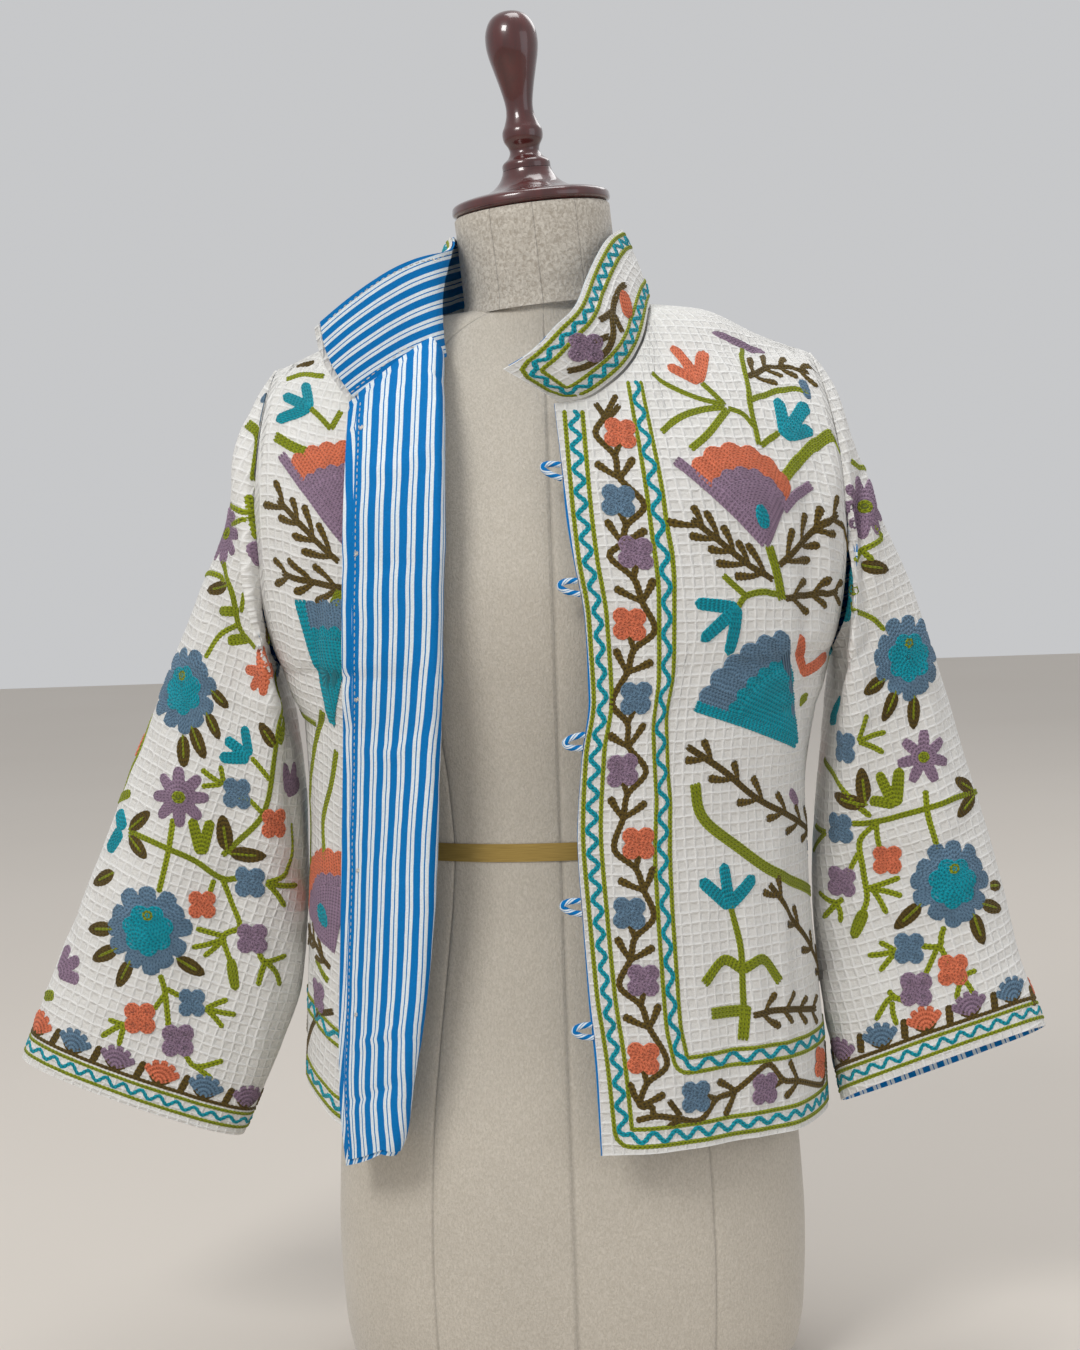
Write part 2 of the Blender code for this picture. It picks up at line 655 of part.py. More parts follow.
def build_form():
    velour = finish("cream velour", (0.50, 0.46, 0.41), 0.9, sheen=0.5)
    ribbon = finish("gold satin ribbon", (0.36, 0.27, 0.10), 0.35)
    wood = finish("lacquered mahogany", (0.06, 0.008, 0.007), 0.12)

    def ring(level_z, angle, grow=0.0):
        half = read(form_rows, "half", level_z) + grow
        c, s = cos(angle), sin(angle)
        depth = read(form_rows, "front" if s < 0 else "back", level_z) + grow
        power = read(form_rows, "power", level_z)
        x = half * abs(c) ** power * (1 if c >= 0 else -1)
        y = depth * abs(s) ** power * (1 if s >= 0 else -1)
        return Vector((x, y, level_z))

    lean = Vector((sin(NECK_LEAN), 0, cos(NECK_LEAN)))
    side = Vector((cos(NECK_LEAN), 0, -sin(NECK_LEAN)))
    levels = [0, 6, 22, 55, 110, 160, 215, 270, 330, 380, RIBBON_TOP - RIBBON_HEIGHT, RIBBON_TOP,
              460, 520, 570, 600, 640, 680, 715, 740, 757, 769, 780, 790, 797, 801, 803]
    rows = [("body", z) for z in levels] + [("neck", d) for d in (6, 14, 34, 58, NECK_LENGTH)]

    def point(angle, row):
        kind, value = row
        if kind == "body":
            return ring(value, angle)
        half = NECK_HALF + 2.5 * bump(value, 0, 14)
        return NECK_BASE + lean * value + side * half * cos(angle) + Vector((0, half * sin(angle), 0))

    angles = even(33, 0, 2 * pi)[:-1]
    mesh = grid("form_body", angles, rows, point, closed=True)
    cap = bpy.data.meshes.new("form_body")
    n = len(angles)
    verts = [v.co.copy() for v in mesh.vertices]
    faces = [tuple(p.vertices) for p in mesh.polygons]
    faces.append(tuple(reversed(range(n))))
    faces.append(tuple(len(verts) - n + i for i in range(n)))
    cap.from_pydata(verts, [], faces)
    bpy.data.meshes.remove(mesh)
    cap.name = "form_body"
    add(cap, velour)

    band_rows = (RIBBON_TOP - RIBBON_HEIGHT, RIBBON_TOP)
    band = grid("form_waist_ribbon", angles, band_rows, lambda a, z: ring(z, a, 0.3), closed=True)
    thicken(add(band, ribbon), 0.8, True)

    turnings = (
        ("form_neck_cap", cap_profile, NECK_LENGTH + SEAM, 32),
        ("form_finial", finial_profile, NECK_LENGTH + 2 * SEAM + 30, 20),
    )
    for name, profile, start, steps in turnings:
        outline = list(reversed(profile))
        if outline[0][0] > 0:
            outline.insert(0, (0.0, outline[0][1]))
        outline.append((0.0, outline[-1][1]))
        mesh = bpy.data.meshes.new(name)
        edges = [(i, i + 1) for i in range(len(outline) - 1)]
        mesh.from_pydata([(r * MM, 0, h * MM) for r, h in outline], edges, [])
        turned = add(mesh, wood, 30)
        turned.location = (NECK_BASE + lean * start) * MM
        turned.rotation_euler = (0, NECK_LEAN, 0)
        lathe = turned.modifiers.new("lathe", "SCREW")
        lathe.steps = lathe.render_steps = steps
        lathe.use_merge_vertices = True
        lathe.merge_threshold = 0.00001


def clear_scene():
    for obj in list(bpy.data.objects):
        bpy.data.objects.remove(obj, do_unlink=True)


clear_scene()
neckline = seam_path()
jacket = bpy.data.collections.new("embroidered_jacket_on_dress_form")
bpy.context.scene.collection.children.link(jacket)
build_jacket()
build_fastening()
build_form()
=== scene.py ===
from functools import partial
from math import cos, pi, radians, sin

import bmesh
import bpy
import numpy as np
from mathutils import Matrix, Vector, noise


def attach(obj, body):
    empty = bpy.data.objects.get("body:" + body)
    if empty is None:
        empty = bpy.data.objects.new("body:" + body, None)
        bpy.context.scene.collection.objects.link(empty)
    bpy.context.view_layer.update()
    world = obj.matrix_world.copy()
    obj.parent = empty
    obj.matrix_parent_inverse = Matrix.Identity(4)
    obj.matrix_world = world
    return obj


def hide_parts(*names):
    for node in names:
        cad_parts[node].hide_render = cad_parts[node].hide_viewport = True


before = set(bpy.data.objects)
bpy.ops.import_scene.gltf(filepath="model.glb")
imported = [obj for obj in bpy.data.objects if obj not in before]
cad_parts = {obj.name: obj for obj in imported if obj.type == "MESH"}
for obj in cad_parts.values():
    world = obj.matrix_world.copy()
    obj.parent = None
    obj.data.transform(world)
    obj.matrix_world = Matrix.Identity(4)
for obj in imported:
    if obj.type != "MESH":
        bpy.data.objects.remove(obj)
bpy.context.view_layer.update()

# An embroidered jacket of white waffle cotton on a limbless dress form.
# Lengths are millimetres until a mesh is made, and mm turns them to metres.
mm = 0.001

# camera and light

view = dict(place=(-0.0112, -1.6, 0.678), pitch=5.2, roll=1.9, lens=56.9)


def makeCamera():
    data = bpy.data.cameras.new("camera")
    data.sensor_width = data.sensor_height = 36
    data.sensor_fit = "VERTICAL"
    data.lens = view["lens"]
    camera = bpy.data.objects.new("camera", data)
    camera.matrix_world = (
        Matrix.Translation(view["place"])
        @ Matrix.Rotation(pi / 2 - radians(view["pitch"]), 4, "X")
        @ Matrix.Rotation(-radians(view["roll"]), 4, "Z")
    )
    bpy.context.scene.collection.objects.link(camera)
    bpy.context.scene.camera = camera


def hexColour(code):
    # sRGB hex to the linear values that a shader socket takes
    parts = [int(code[i:i + 2], 16) / 255 for i in (1, 3, 5)]
    return (*[p / 12.92 if p <= 0.04045 else ((p + 0.055) / 1.055) ** 2.4 for p in parts], 1.0)


studio = dict(
    world="#E9EAEC", worldPower=0.70,
    lamps=[  # name, place, aimed at, size, watts, colour
        ("key", (-1.3, -2.0, 2.5), (0, 0, 0.55), 0.9, 40, "#FFFEFC"),
        ("fill", (2.2, -1.5, 1.3), (0, 0, 0.55), 1.6, 6, "#F3F6FF"),
        ("top", (0.2, 0.1, 2.7), (0, 0, 0.7), 1.0, 14, "#FFFFFF"),
        ("behind", (1.4, 2.2, 2.6), (0, 0, 0.6), 1.4, 12, "#FFFFFF"),
    ],
)


def makeStudio():
    scene = bpy.context.scene
    scene.view_settings.view_transform = "Standard"
    world = bpy.data.worlds.new("studio")
    scene.world = world
    world.use_nodes = True
    shade = world.node_tree.nodes["Background"]
    shade.inputs["Color"].default_value = hexColour(studio["world"])
    shade.inputs["Strength"].default_value = studio["worldPower"]
    for name, place, target, size, watts, colour in studio["lamps"]:
        lamp = bpy.data.lights.new(name, "AREA")
        lamp.size, lamp.energy = size, watts
        lamp.color = hexColour(colour)[:3]
        holder = bpy.data.objects.new(name, lamp)
        holder.location = place
        holder.rotation_euler = (Vector(target) - Vector(place)).to_track_quat("-Z", "Y").to_euler()
        scene.collection.objects.link(holder)


# materials

def addNode(tree, kind, *inputs, out=0, **named):
    # adds a node: small-letter names are its settings; the rest feed the sockets in use, in order or by name
    node = tree.nodes.new("ShaderNode" + kind)
    for name in [name for name in named if name[0].islower()]:
        setattr(node, name, named.pop(name))
    fed = list(zip([socket for socket in node.inputs if socket.enabled], inputs))
    fed += [(node.inputs[name.replace("_", " ")], value) for name, value in named.items()]
    for socket, value in fed:
        if isinstance(value, bpy.types.NodeSocket):
            tree.links.new(value, socket)
        else:
            socket.default_value = value
    return [socket for socket in node.outputs if socket.enabled][out]


def startMaterial(name, roughness, **sockets):
    material = bpy.data.materials.new(name)
    material.use_nodes = True
    tree = material.node_tree
    shader = tree.nodes["Principled BSDF"]
    shader.inputs["Roughness"].default_value = roughness
    for socket, value in sockets.items():
        shader.inputs[socket.replace("_", " ")].default_value = value
    return material, tree, shader


def coverWith(tree, shader, shade, height, strength, depth):
    # the colour and the relief of a finished surface; depth is in millimetres
    tree.links.new(shade, shader.inputs["Base Color"])
    relief = addNode(tree, "Bump", Height=height, Strength=strength, Distance=depth * mm)
    tree.links.new(relief, shader.inputs["Normal"])


def clothPlace(tree, wobble, size):
    # flat cloth coordinates in millimetres, wobbled a little as a hand-laid cloth is
    uv = addNode(tree, "UVMap", uv_map="cloth")
    soft = addNode(tree, "TexNoise", noise_dimensions="2D", Vector=uv, Scale=1 / size, Detail=2.0, out=1)
    shift = addNode(tree, "VectorMath", soft, (0.5, 0.5, 0.5), operation="SUBTRACT")
    spread = addNode(tree, "VectorMath", shift, wobble, operation="SCALE")
    moved = addNode(tree, "VectorMath", uv, spread, operation="ADD")
    parts = addNode(tree, "SeparateXYZ", moved).node.outputs
    return uv, parts[0], parts[1]


# the pit colour is painted shade for the cells' hollows
waffleCotton = dict(
    white="#F8F7F4", pit="#DCDAD5", grime="#F1F0EC", cell=7.6, thread=1.0, slub=5.5, stain=90, relief=1.3,
)


def waffleMaterial(name="waffle weave cotton", cell=waffleCotton["cell"]):
    # heavy cotton woven in square cells: matt, soft-edged ridges round shallow pits, with painted shade in
    # the pits
    white, pit, grime = (hexColour(waffleCotton[name]) for name in ("white", "pit", "grime"))
    m, t, shader = startMaterial(name, 0.88, Sheen_Weight=0.15, Sheen_Roughness=0.5, IOR=1.5)
    uv, u, v = clothPlace(t, 2.2, 17)
    ridges = []
    for axis in (u, v):    # away is 0 on a ridge and 0.5 in the middle of a cell
        place = addNode(t, "Math", axis, cell, operation="DIVIDE")
        away = addNode(t, "Math", place, 0.5, operation="PINGPONG")
        ridge = addNode(t, "Math", away, -4.4, 1.0, operation="MULTIPLY_ADD")
        ridges.append(addNode(t, "Math", ridge, 0.0, operation="MAXIMUM"))
    grid = addNode(t, "Math", *ridges, 0.25, operation="SMOOTH_MAX")
    fine = dict(noise_dimensions="2D", Vector=uv, Detail=3.0)
    yarn = addNode(t, "TexNoise", Scale=1 / waffleCotton["thread"], Roughness=0.65, **fine)
    slub = addNode(t, "TexNoise", Scale=1 / waffleCotton["slub"], **fine)
    height = addNode(t, "Math", yarn, 0.55, grid, operation="MULTIPLY_ADD")
    height = addNode(t, "Math", slub, 0.9, height, operation="MULTIPLY_ADD")
    # painted shade: the colour darkens from the ridges into the cells' hollows
    shade = addNode(t, "Mix", grid, pit, white, data_type="RGBA")
    tone = addNode(t, "TexNoise", noise_dimensions="2D", Vector=uv, Scale=1 / waffleCotton["stain"])
    share = addNode(t, "Math", tone, 0.5, operation="MULTIPLY")
    shade = addNode(t, "Mix", share, shade, grime, data_type="RGBA")
    coverWith(t, shader, shade, height, 1.0, waffleCotton["relief"])
    return m


stripedCotton = dict(
    blue="#0074BA", deep="#0062A4", white="#E6EEF0", repeat=11.7, thread=0.9, fleck=1.4, pucker=9, cloud=30,
    bands=((5.7, "blue"), (2.5, "white"), (0.9, "blue"), (2.6, "white")),
)


def stripeMaterial(name, turned=False, repeat=stripedCotton["repeat"]):
    # light plain-weave cotton with yarn-dyed stripes: matt, slightly puckered;
    # its threads are drawn at three times their width, or they would not show
    m, t, shader = startMaterial(name, 0.85, Specular_IOR_Level=0.2)
    uv, u, v = clothPlace(t, 1.5, 45)
    across = addNode(t, "Math", v if turned else u, repeat, operation="DIVIDE")
    ramp = addNode(t, "ValToRGB", addNode(t, "Math", across, operation="FRACT"))
    marks = ramp.node.color_ramp.elements
    ramp.node.color_ramp.interpolation = "CONSTANT"
    start = 0.0
    for width, colour in stripedCotton["bands"]:
        mark = marks.new(start) if start else marks[0]
        mark.position, mark.color = start, hexColour(stripedCotton[colour])
        start += width / stripedCotton["repeat"]
    marks.remove(marks[-1])    # the ramp's own white end
    weave = []
    for axis in (u, v):
        turns = addNode(t, "Math", axis, 2 * pi / stripedCotton["thread"], operation="MULTIPLY")
        weave.append(addNode(t, "Math", turns, operation="SINE"))
    threads = addNode(t, "Math", *weave, operation="MULTIPLY")
    cloudy, fleck, pucker = (
        addNode(t, "TexNoise", noise_dimensions="2D", Vector=uv, Scale=1 / stripedCotton[name], Detail=detail)
        for name, detail in (("cloud", 3.0), ("fleck", 2.0), ("pucker", 3.0))
    )
    share = addNode(t, "Math", cloudy, 0.45 * 0.35, operation="MULTIPLY")
    tint = addNode(t, "Mix", share, ramp, hexColour(stripedCotton["deep"]), data_type="RGBA")
    dim = addNode(t, "Math", fleck, 0.3, 0.84, operation="MULTIPLY_ADD")
    shade = addNode(t, "VectorMath", tint, dim, operation="SCALE")
    height = addNode(t, "Math", pucker, 1.6, operation="MULTIPLY")
    height = addNode(t, "Math", threads, 0.1, height, operation="MULTIPLY_ADD")
    coverWith(t, shader, shade, height, 0.6, 0.8)
    return m


chainStitch = dict(link=3.3, strand=0.5, relief=1.0)


def threadMaterial(name, colour, deep):
    # soft twisted wool-like embroidery yarn worked in chain stitch: matt links with painted shade in the
    # gaps, a little longer than the real 2.4 mm so that they show
    m, t, shader = startMaterial(name, 0.85, Sheen_Weight=0.12, Sheen_Roughness=0.45, Specular_IOR_Level=0.25)
    uv = addNode(t, "UVMap", uv_map="cloth")
    along, across, _ = addNode(t, "SeparateXYZ", uv).node.outputs
    across = addNode(t, "Math", across, 0.5, operation="SUBTRACT")
    across = addNode(t, "Math", across, operation="ABSOLUTE")
    # each link is a V that opens forward: its phase leans back away from the middle
    lean = addNode(t, "Math", across, 3.6, along, operation="MULTIPLY_ADD")
    lean = addNode(t, "Math", lean, chainStitch["link"], operation="DIVIDE")
    body = addNode(t, "Math", lean, 0.5, operation="PINGPONG")
    body = addNode(t, "Math", body, 2.0, operation="MULTIPLY")
    body = addNode(t, "Math", body, 0.6, operation="POWER")
    gap = addNode(t, "Math", across, 0.22, operation="MINIMUM")    # the open middle of the chain
    fine = dict(Scale=1 / chainStitch["strand"], Detail=2.0)
    strands = addNode(t, "TexNoise", noise_dimensions="2D", Vector=uv, **fine)
    height = addNode(t, "Math", gap, 3.2, body, operation="MULTIPLY_ADD")
    height = addNode(t, "Math", strands, 0.35, height, operation="MULTIPLY_ADD")
    # painted shade: the colour falls to the deep one where the relief is low, in the chain's gaps and between
    # links
    light = addNode(t, "MapRange", height, 0.5, 1.35)
    shade = addNode(t, "Mix", light, hexColour(deep), hexColour(colour), data_type="RGBA")
    tone = addNode(t, "TexNoise", Vector=addNode(t, "TexCoord", out=3), Scale=190.0, Detail=3.0)
    dim = addNode(t, "Math", tone, 0.55, 0.74, operation="MULTIPLY_ADD")
    shade = addNode(t, "VectorMath", shade, dim, operation="SCALE")
    coverWith(t, shader, shade, height, 1.0, chainStitch["relief"])
    return m


# in each cover the root colour is painted shade between the nap's tips
velour = dict(
    seams=[0.0, 85.0, -85.0, 236.0, -236.0, 386.0, -386.0, 471.0, -471.0], groove=1.4,    # places round it
    body=("cream velour, body", "#CFC7BA", "#BDB5A7", 1.3, 0.55),    # tip, root, grain, stretch along z
    neck=("cream velour, neck", "#CDC6BA", "#A69D90", 2.3, 0.9),
)


def velourMaterial(name, tip, root, grain, streak):
    # short-pile stretch velour: a broken nap, its colour light on the tips and darker between them as painted
    # shade
    m, t, shader = startMaterial(name, 0.92, Sheen_Weight=0.35, Sheen_Roughness=0.4, IOR=1.45)
    place = addNode(t, "TexCoord", out=3)
    rows = addNode(t, "Mapping", Vector=place, Scale=(1000, 1000, 1000 * streak))
    nap = addNode(t, "TexNoise", Vector=rows, Scale=1 / grain, Detail=3.0, Roughness=0.6, Distortion=0.6)
    wide = addNode(t, "TexNoise", Vector=place, Scale=9.0, Detail=3.0)
    sharp = addNode(t, "MapRange", nap, 0.36, 0.64)
    # painted shade: the nap's colour darkens from tip to root where its relief is low
    shade = addNode(t, "Mix", sharp, hexColour(root), hexColour(tip), data_type="RGBA")
    turn = addNode(t, "SeparateXYZ", addNode(t, "UVMap", uv_map="cloth"))
    seam = 1.0
    for at in velour["seams"]:     # sewn panel seams: a fine dark groove with a puffed edge
        near = addNode(t, "Math", turn, at, operation="SUBTRACT")
        near = addNode(t, "Math", near, operation="ABSOLUTE")
        groove = addNode(t, "Math", near, velour["groove"], operation="DIVIDE")
        seam = addNode(t, "Math", groove, seam, operation="MINIMUM")
    dim = addNode(t, "Math", wide, 0.22, 0.89, operation="MULTIPLY_ADD")
    dark = addNode(t, "Math", seam, 0.24, 0.76, operation="MULTIPLY_ADD")
    dim = addNode(t, "Math", dim, dark, operation="MULTIPLY")
    shade = addNode(t, "VectorMath", shade, dim, operation="SCALE")
    height = addNode(t, "Math", seam, 3.0, sharp, operation="MULTIPLY_ADD")
    coverWith(t, shader, shade, height, 0.5, 0.5)
    return m


satin = dict(dark="#8F7434", light="#C0A258", floats=(0.06, 2.2, 1))    # per millimetre, along and across


def ribbonMaterial():
    # gold satin ribbon: smooth lengthwise floats that catch the light, their lighter streaks a painted sheen
    m, t, shader = startMaterial("gold satin ribbon", 0.36, Metallic=0.35, Anisotropic=0.4, Sheen_Weight=0.1)
    uv = addNode(t, "UVMap", uv_map="cloth")
    rows = addNode(t, "Mapping", Vector=uv, Scale=satin["floats"])
    floats = addNode(t, "TexNoise", noise_dimensions="2D", Vector=rows, Scale=1.0, Detail=2.0)
    # painted sheen: the colour goes lighter on the high floats, with the relief
    shade = addNode(t, "Mix", floats, hexColour(satin["dark"]), hexColour(satin["light"]), data_type="RGBA")
    coverWith(t, shader, shade, floats, 0.3, 0.3)
    return m


wood = dict(dark="#1E0605", light="#5E1713", grain=(120, 120, 9))    # streaks per metre


def mahoganyMaterial():
    # turned mahogany under thick glossy lacquer: dark red-brown grain below a clear coat
    m, t, shader = startMaterial("lacquered mahogany", 0.3, Coat_Weight=1.0, Coat_Roughness=0.06, IOR=1.5)
    rows = addNode(t, "Mapping", Vector=addNode(t, "TexCoord", out=3), Scale=wood["grain"])
    grain = addNode(t, "TexNoise", Vector=rows, Scale=1.0, Detail=5.0, Distortion=0.5)
    shade = addNode(t, "Mix", grain, hexColour(wood["dark"]), hexColour(wood["light"]), data_type="RGBA")
    coverWith(t, shader, shade, grain, 0.08, 0.2)
    return m


def floorMaterial():
    # matt painted board, a little cloudy
    m, t, shader = startMaterial("matt painted floor", 0.7)
    tone = addNode(t, "TexNoise", Vector=addNode(t, "TexCoord", out=3), Scale=1.2, Detail=2.0)
    shade = addNode(t, "Mix", tone, hexColour("#CFC7BD"), hexColour("#D6CFC6"), data_type="RGBA")
    t.links.new(shade, shader.inputs["Base Color"])
    return m


# each yarn: its own colour, then the painted shade for the gaps in its chain
yarns = dict(
    olive=("#919C15", "#4C5208"), teal=("#04A0B2", "#035F6E"), brown=("#624F1B", "#2E2308"),
    coral=("#E8805C", "#A84829"), mauve=("#9C8299", "#635065"), slate=("#6C8BA4", "#3E566B"),
    white=("#F2EFE8", "#B9B4A8"),
)

# the shape of the garment, as tables of a few measured places


def table(columns, *rows):
    names = columns.split()
    return {name: np.array([row[i] for row in rows], float) for i, name in enumerate(names)}, names[0]


def read(source, column, at):
    # smooth value of a column at a key, without overshoot between its rows
    columns, key = source
    xs, ys = columns[key], columns[column]
    slope = np.diff(ys) / np.diff(xs)
    tangent = np.concatenate([slope[:1], np.zeros(len(xs) - 2), slope[-1:]])
    a, b = slope[:-1], slope[1:]
    same = a * b > 0
    tangent[1:-1][same] = (2 * a * b)[same] / (a + b)[same]
    at = np.clip(at, xs[0], xs[-1])
    i = np.clip(np.searchsorted(xs, at, side="right") - 1, 0, len(xs) - 2)
    h = xs[i + 1] - xs[i]
    u = (at - xs[i]) / h
    return (ys[i] * (1 + 2 * u) * (1 - u) ** 2 + ys[i + 1] * u * u * (3 - 2 * u)
            + tangent[i] * h * u * (1 - u) ** 2 - tangent[i + 1] * h * u * u * (1 - u))


def mix(a, b, t):
    return a + (b - a) * t


def hump(at, centre, width):
    # a smooth rise from 0 to 1 and back about a centre
    d = np.minimum(np.abs(at - centre) / width, 1)
    return (1 + np.cos(pi * d)) / 2


jacket = dict(
    cloth=1.4, lining=0.9, seam=0.3, shoulderY=-5.0, domeFront=140.0, domeBack=55.0,
    armTop=765.0, armLow=548.0, armFront=55.0, armBack=50.0, foldRadius=5.5,
    neckRight=78.0, neckLeft=86.0, loopTube=4.4, loopReach=13.0, loopHalf=4.6,
)

body = table(
    "z     right  left  front  back",
    (190,  197,  199,  -147,  134),
    (240,  195,  197,  -144,  126),
    (300,  191,  194,  -142,  114),
    (362,  186,  190,  -140,  106),
    (437,  184,  186,  -140,  102),
    (511,  195,  188,  -139,  101),
    (548,  203,  198,  -138,  103),
    (600,  205,  200,  -137,  106),
    (650,  205,  200,  -130,  108),
    (700,  205,  200,  -117,  108),
    (740,  205,  200,  -108,  106),
    (830,  205,  200,  -100,  104),
)
shoulder = table(
    "x    right  left",
    (0,    815,   815),
    (40,   811,   811),
    (80,   804,   803),
    (116,  799,   796),
    (160,  778,   780),
    (194,  765,   765),
)
leftEdge = table(
    "z     x",
    (203,  21),
    (260,  20),
    (317,  16),
    (373,  13),
    (423,  11),
    (485,  16),
    (527,  23),
    (582,  21),
    (623,  15),
    (685,   9),
    (732,   5),
)
leftTop = table("x z", (5, 731), (25, 733), (45, 744), (62, 760), (72, 778), (78, 804))
leftHem = table("s z", (0.0, 207), (0.6, 205), (1.0, 202))
rightFold = table(
    "z x", (206, -126), (222, -120), (245, -116), (356, -98), (433, -90), (599, -80), (700, -75), (776, -74),
)
rightTop = table("x z", (74, 776), (79, 786), (86, 803))
rightHem = table("s z", (0.0, 206), (0.5, 214), (1.0, 236))
flap = table(
    "t     edgeX  edgeZ  stand",
    (0.0,  -163,  190,   10),
    (0.08, -166,  236,   11),
    (0.3,  -160,  370,   13),
    (0.55, -151,  520,   14),
    (0.8,  -145,  640,   13),
    (1.0,  -140,  738,   10),
)
loopPlaces = [(684, 0.25), (604, 0.10), (497, -0.05), (380, 0.12), (292, 0.05)]
buttonPlaces = [0.95, 0.785, 0.60, 0.37, 0.18]
backTop = table("x z", (0, 799), (40, 797), (66, 799), (78, 801), (86, 803))
sleeveLeftRows = table(
    "t     outX  outZ  inX  inZ  midY  front  back  tilt",
    (0.0,   194,  765,  205,  548,   -5,   55,   50,   0.00),
    (0.05,  205,  750,  208,  540,   -5,   57,   52,   0.00),
    (0.12,  219,  708,  208,  520,   -3,   58,   53,   0.00),
    (0.22,  238,  656,  205,  485,    0,   56,   52,   0.00),
    (0.34,  266,  588,  199,  437,    4,   52,   50,   0.02),
    (0.46,  290,  518,  194,  390,    6,   48,   47,   0.06),
    (0.58,  306,  459,  193,  350,    4,   45,   44,   0.12),
    (0.70,  322,  400,  195,  308,    0,   42,   41,   0.20),
    (0.80,  333,  352,  198,  272,   -6,   40,   39,   0.28),
    (0.90,  342,  305,  203,  238,  -15,   37,   36,   0.36),
    (1.0,   358,  256,  207,  206,  -26,   34,   34,   0.42),
)
sleeveRightRows = table(
    "t     outX  outZ  inX  inZ  midY  front  back  tilt",
    (0.0,  -197,  765, -203,  548,   -5,   55,   50,   0.00),
    (0.05, -210,  747, -206,  538,   -5,   58,   52,   0.00),
    (0.12, -226,  712, -203,  518,   -3,   60,   53,   0.00),
    (0.22, -235,  662, -196,  480,    0,   58,   52,   0.00),
    (0.34, -262,  604, -193,  430,    4,   54,   50,   0.00),
    (0.46, -287,  548, -194,  385,    6,   50,   48,   0.00),
    (0.58, -312,  490, -197,  343,    6,   47,   45,   0.02),
    (0.70, -336,  434, -203,  300,    5,   44,   43,   0.04),
    (0.80, -358,  384, -216,  264,    3,   42,   41,   0.04),
    (0.90, -384,  325, -233,  226,    0,   39,   38,   0.05),
    (1.0,  -413,  255, -250,  190,   -4,   36,   35,   0.06),
)
sleeveFolds = [  # turn, depth, width, low, high
    (38, 7, 30, 0.02, 0.46), (78, -6, 28, 0.04, 0.42), (122, 5, 30, 0.12, 0.60),
    (62, 5, 28, 0.44, 0.97), (104, -4, 26, 0.50, 0.98), (215, 6, 32, 0.05, 0.60),
    (262, -6, 30, 0.10, 0.70), (310, 6, 30, 0.02, 0.45), (285, 5, 30, 0.50, 0.97),
]
bodyFolds = [  # x, depth, width, low, high
    (-150, -5.0, 24, 200, 560), (-112, 3.0, 22, 200, 420), (60, 2.5, 30, 200, 420),
    (118, -4.0, 26, 200, 470), (166, 6.0, 26, 200, 610),
]
backFolds = [
    (-150, -4, 26, 200, 620), (-90, 5, 30, 200, 560), (-30, -4, 28, 200, 480),
    (40, 5, 30, 200, 640), (105, -5, 28, 200, 540), (160, 4, 26, 200, 600),
]
collarRows = table(
    "k      dx     dy     dz",
    (0.0,   -38,   -26,   22),
    (0.08,  -34,   -24,   40),
    (0.16,  -38,   -20,   40),
    (0.22,  -28,   -11,   49),
    (0.27,  -17,    -4,   52),
    (0.36,   -8,    -5,   53),
    (0.45,    0,    -4,   54),
    (0.54,    8,    -5,   53),
    (0.58,    7,    -3,   52),
    (0.63,   12,    -2,   51),
    (0.70,   17,     0,   52),
    (0.76,   17,     2,   55),
    (0.81,   14,     4,   58),
    (0.85,    5,     4,   59),
    (0.92,   -9,     0,   57),
    (1.0,   -20,    -6,   49),
)


def armhole(turn, side):
    rows = sleeveLeftRows if side > 0 else sleeveRightRows
    c, s = np.cos(np.radians(turn)), np.sin(np.radians(turn))
    outX, inX = read(rows, "outX", 0), read(rows, "inX", 0)
    depth = np.where(s >= 0, jacket["armFront"], jacket["armBack"])
    middle, half = (jacket["armTop"] + jacket["armLow"]) / 2, (jacket["armTop"] - jacket["armLow"]) / 2
    x = (outX + inX) / 2 + (outX - inX) / 2 * c + side * 12 * s * s
    return x, jacket["shoulderY"] - depth * s, middle + half * c


def armholeAt(z, side, front):
    z = np.asarray(z, float)
    edge = read(body, "right" if side > 0 else "left", z)
    blend = np.clip((z - jacket["armLow"] + 40) / 40, 0, 1)
    below = mix(side * edge, armhole(180.0, side)[0], blend)
    middle, half = (jacket["armTop"] + jacket["armLow"]) / 2, (jacket["armTop"] - jacket["armLow"]) / 2
    turn = np.degrees(np.arccos(np.clip((z - middle) / half, -1, 1)))
    x, y, _ = armhole(turn if front else -turn, side)
    low = z <= jacket["armLow"]
    return np.where(low, below, x), np.where(low, jacket["shoulderY"], y)


def bodyPoint(x, z, side, front, folds):
    edgeX, edgeY = armholeAt(z, side, front)
    across = np.minimum(1.0, np.abs(x / edgeX))
    rise = np.clip((z - jacket["armLow"]) / 70, 0, 1)
    turn = mix(pi / 2, radians(62), rise)
    angle = np.arcsin(np.clip(across * np.sin(turn), -1, 1))
    roundOff = (np.cos(angle) - np.cos(turn)) / (1 - np.cos(turn))
    depth = read(body, "front" if front else "back", z)
    ridge = read(shoulder, "right" if side > 0 else "left", np.abs(x))
    dome = jacket["domeFront"] if front else jacket["domeBack"]
    drop = np.clip((ridge - z) / dome, 0, 1)
    depth = jacket["shoulderY"] + (depth - jacket["shoulderY"]) * np.sqrt(1 - (1 - drop) ** 2)
    y = edgeY + (depth - edgeY) * roundOff + (-1 if front else 1) * jacket["seam"] / 2
    for place, deep, width, low, high in folds:
        fade = np.where(z > high, 0.0, np.sin(pi / 2 * np.clip((high - z) / (high - low), 0, None)))
        y = y + (-1 if front else 1) * deep * hump(x, place, width) * fade * np.minimum(1.0, (1 - across) * 6)
    return np.stack(np.broadcast_arrays(x, y, z), -1)


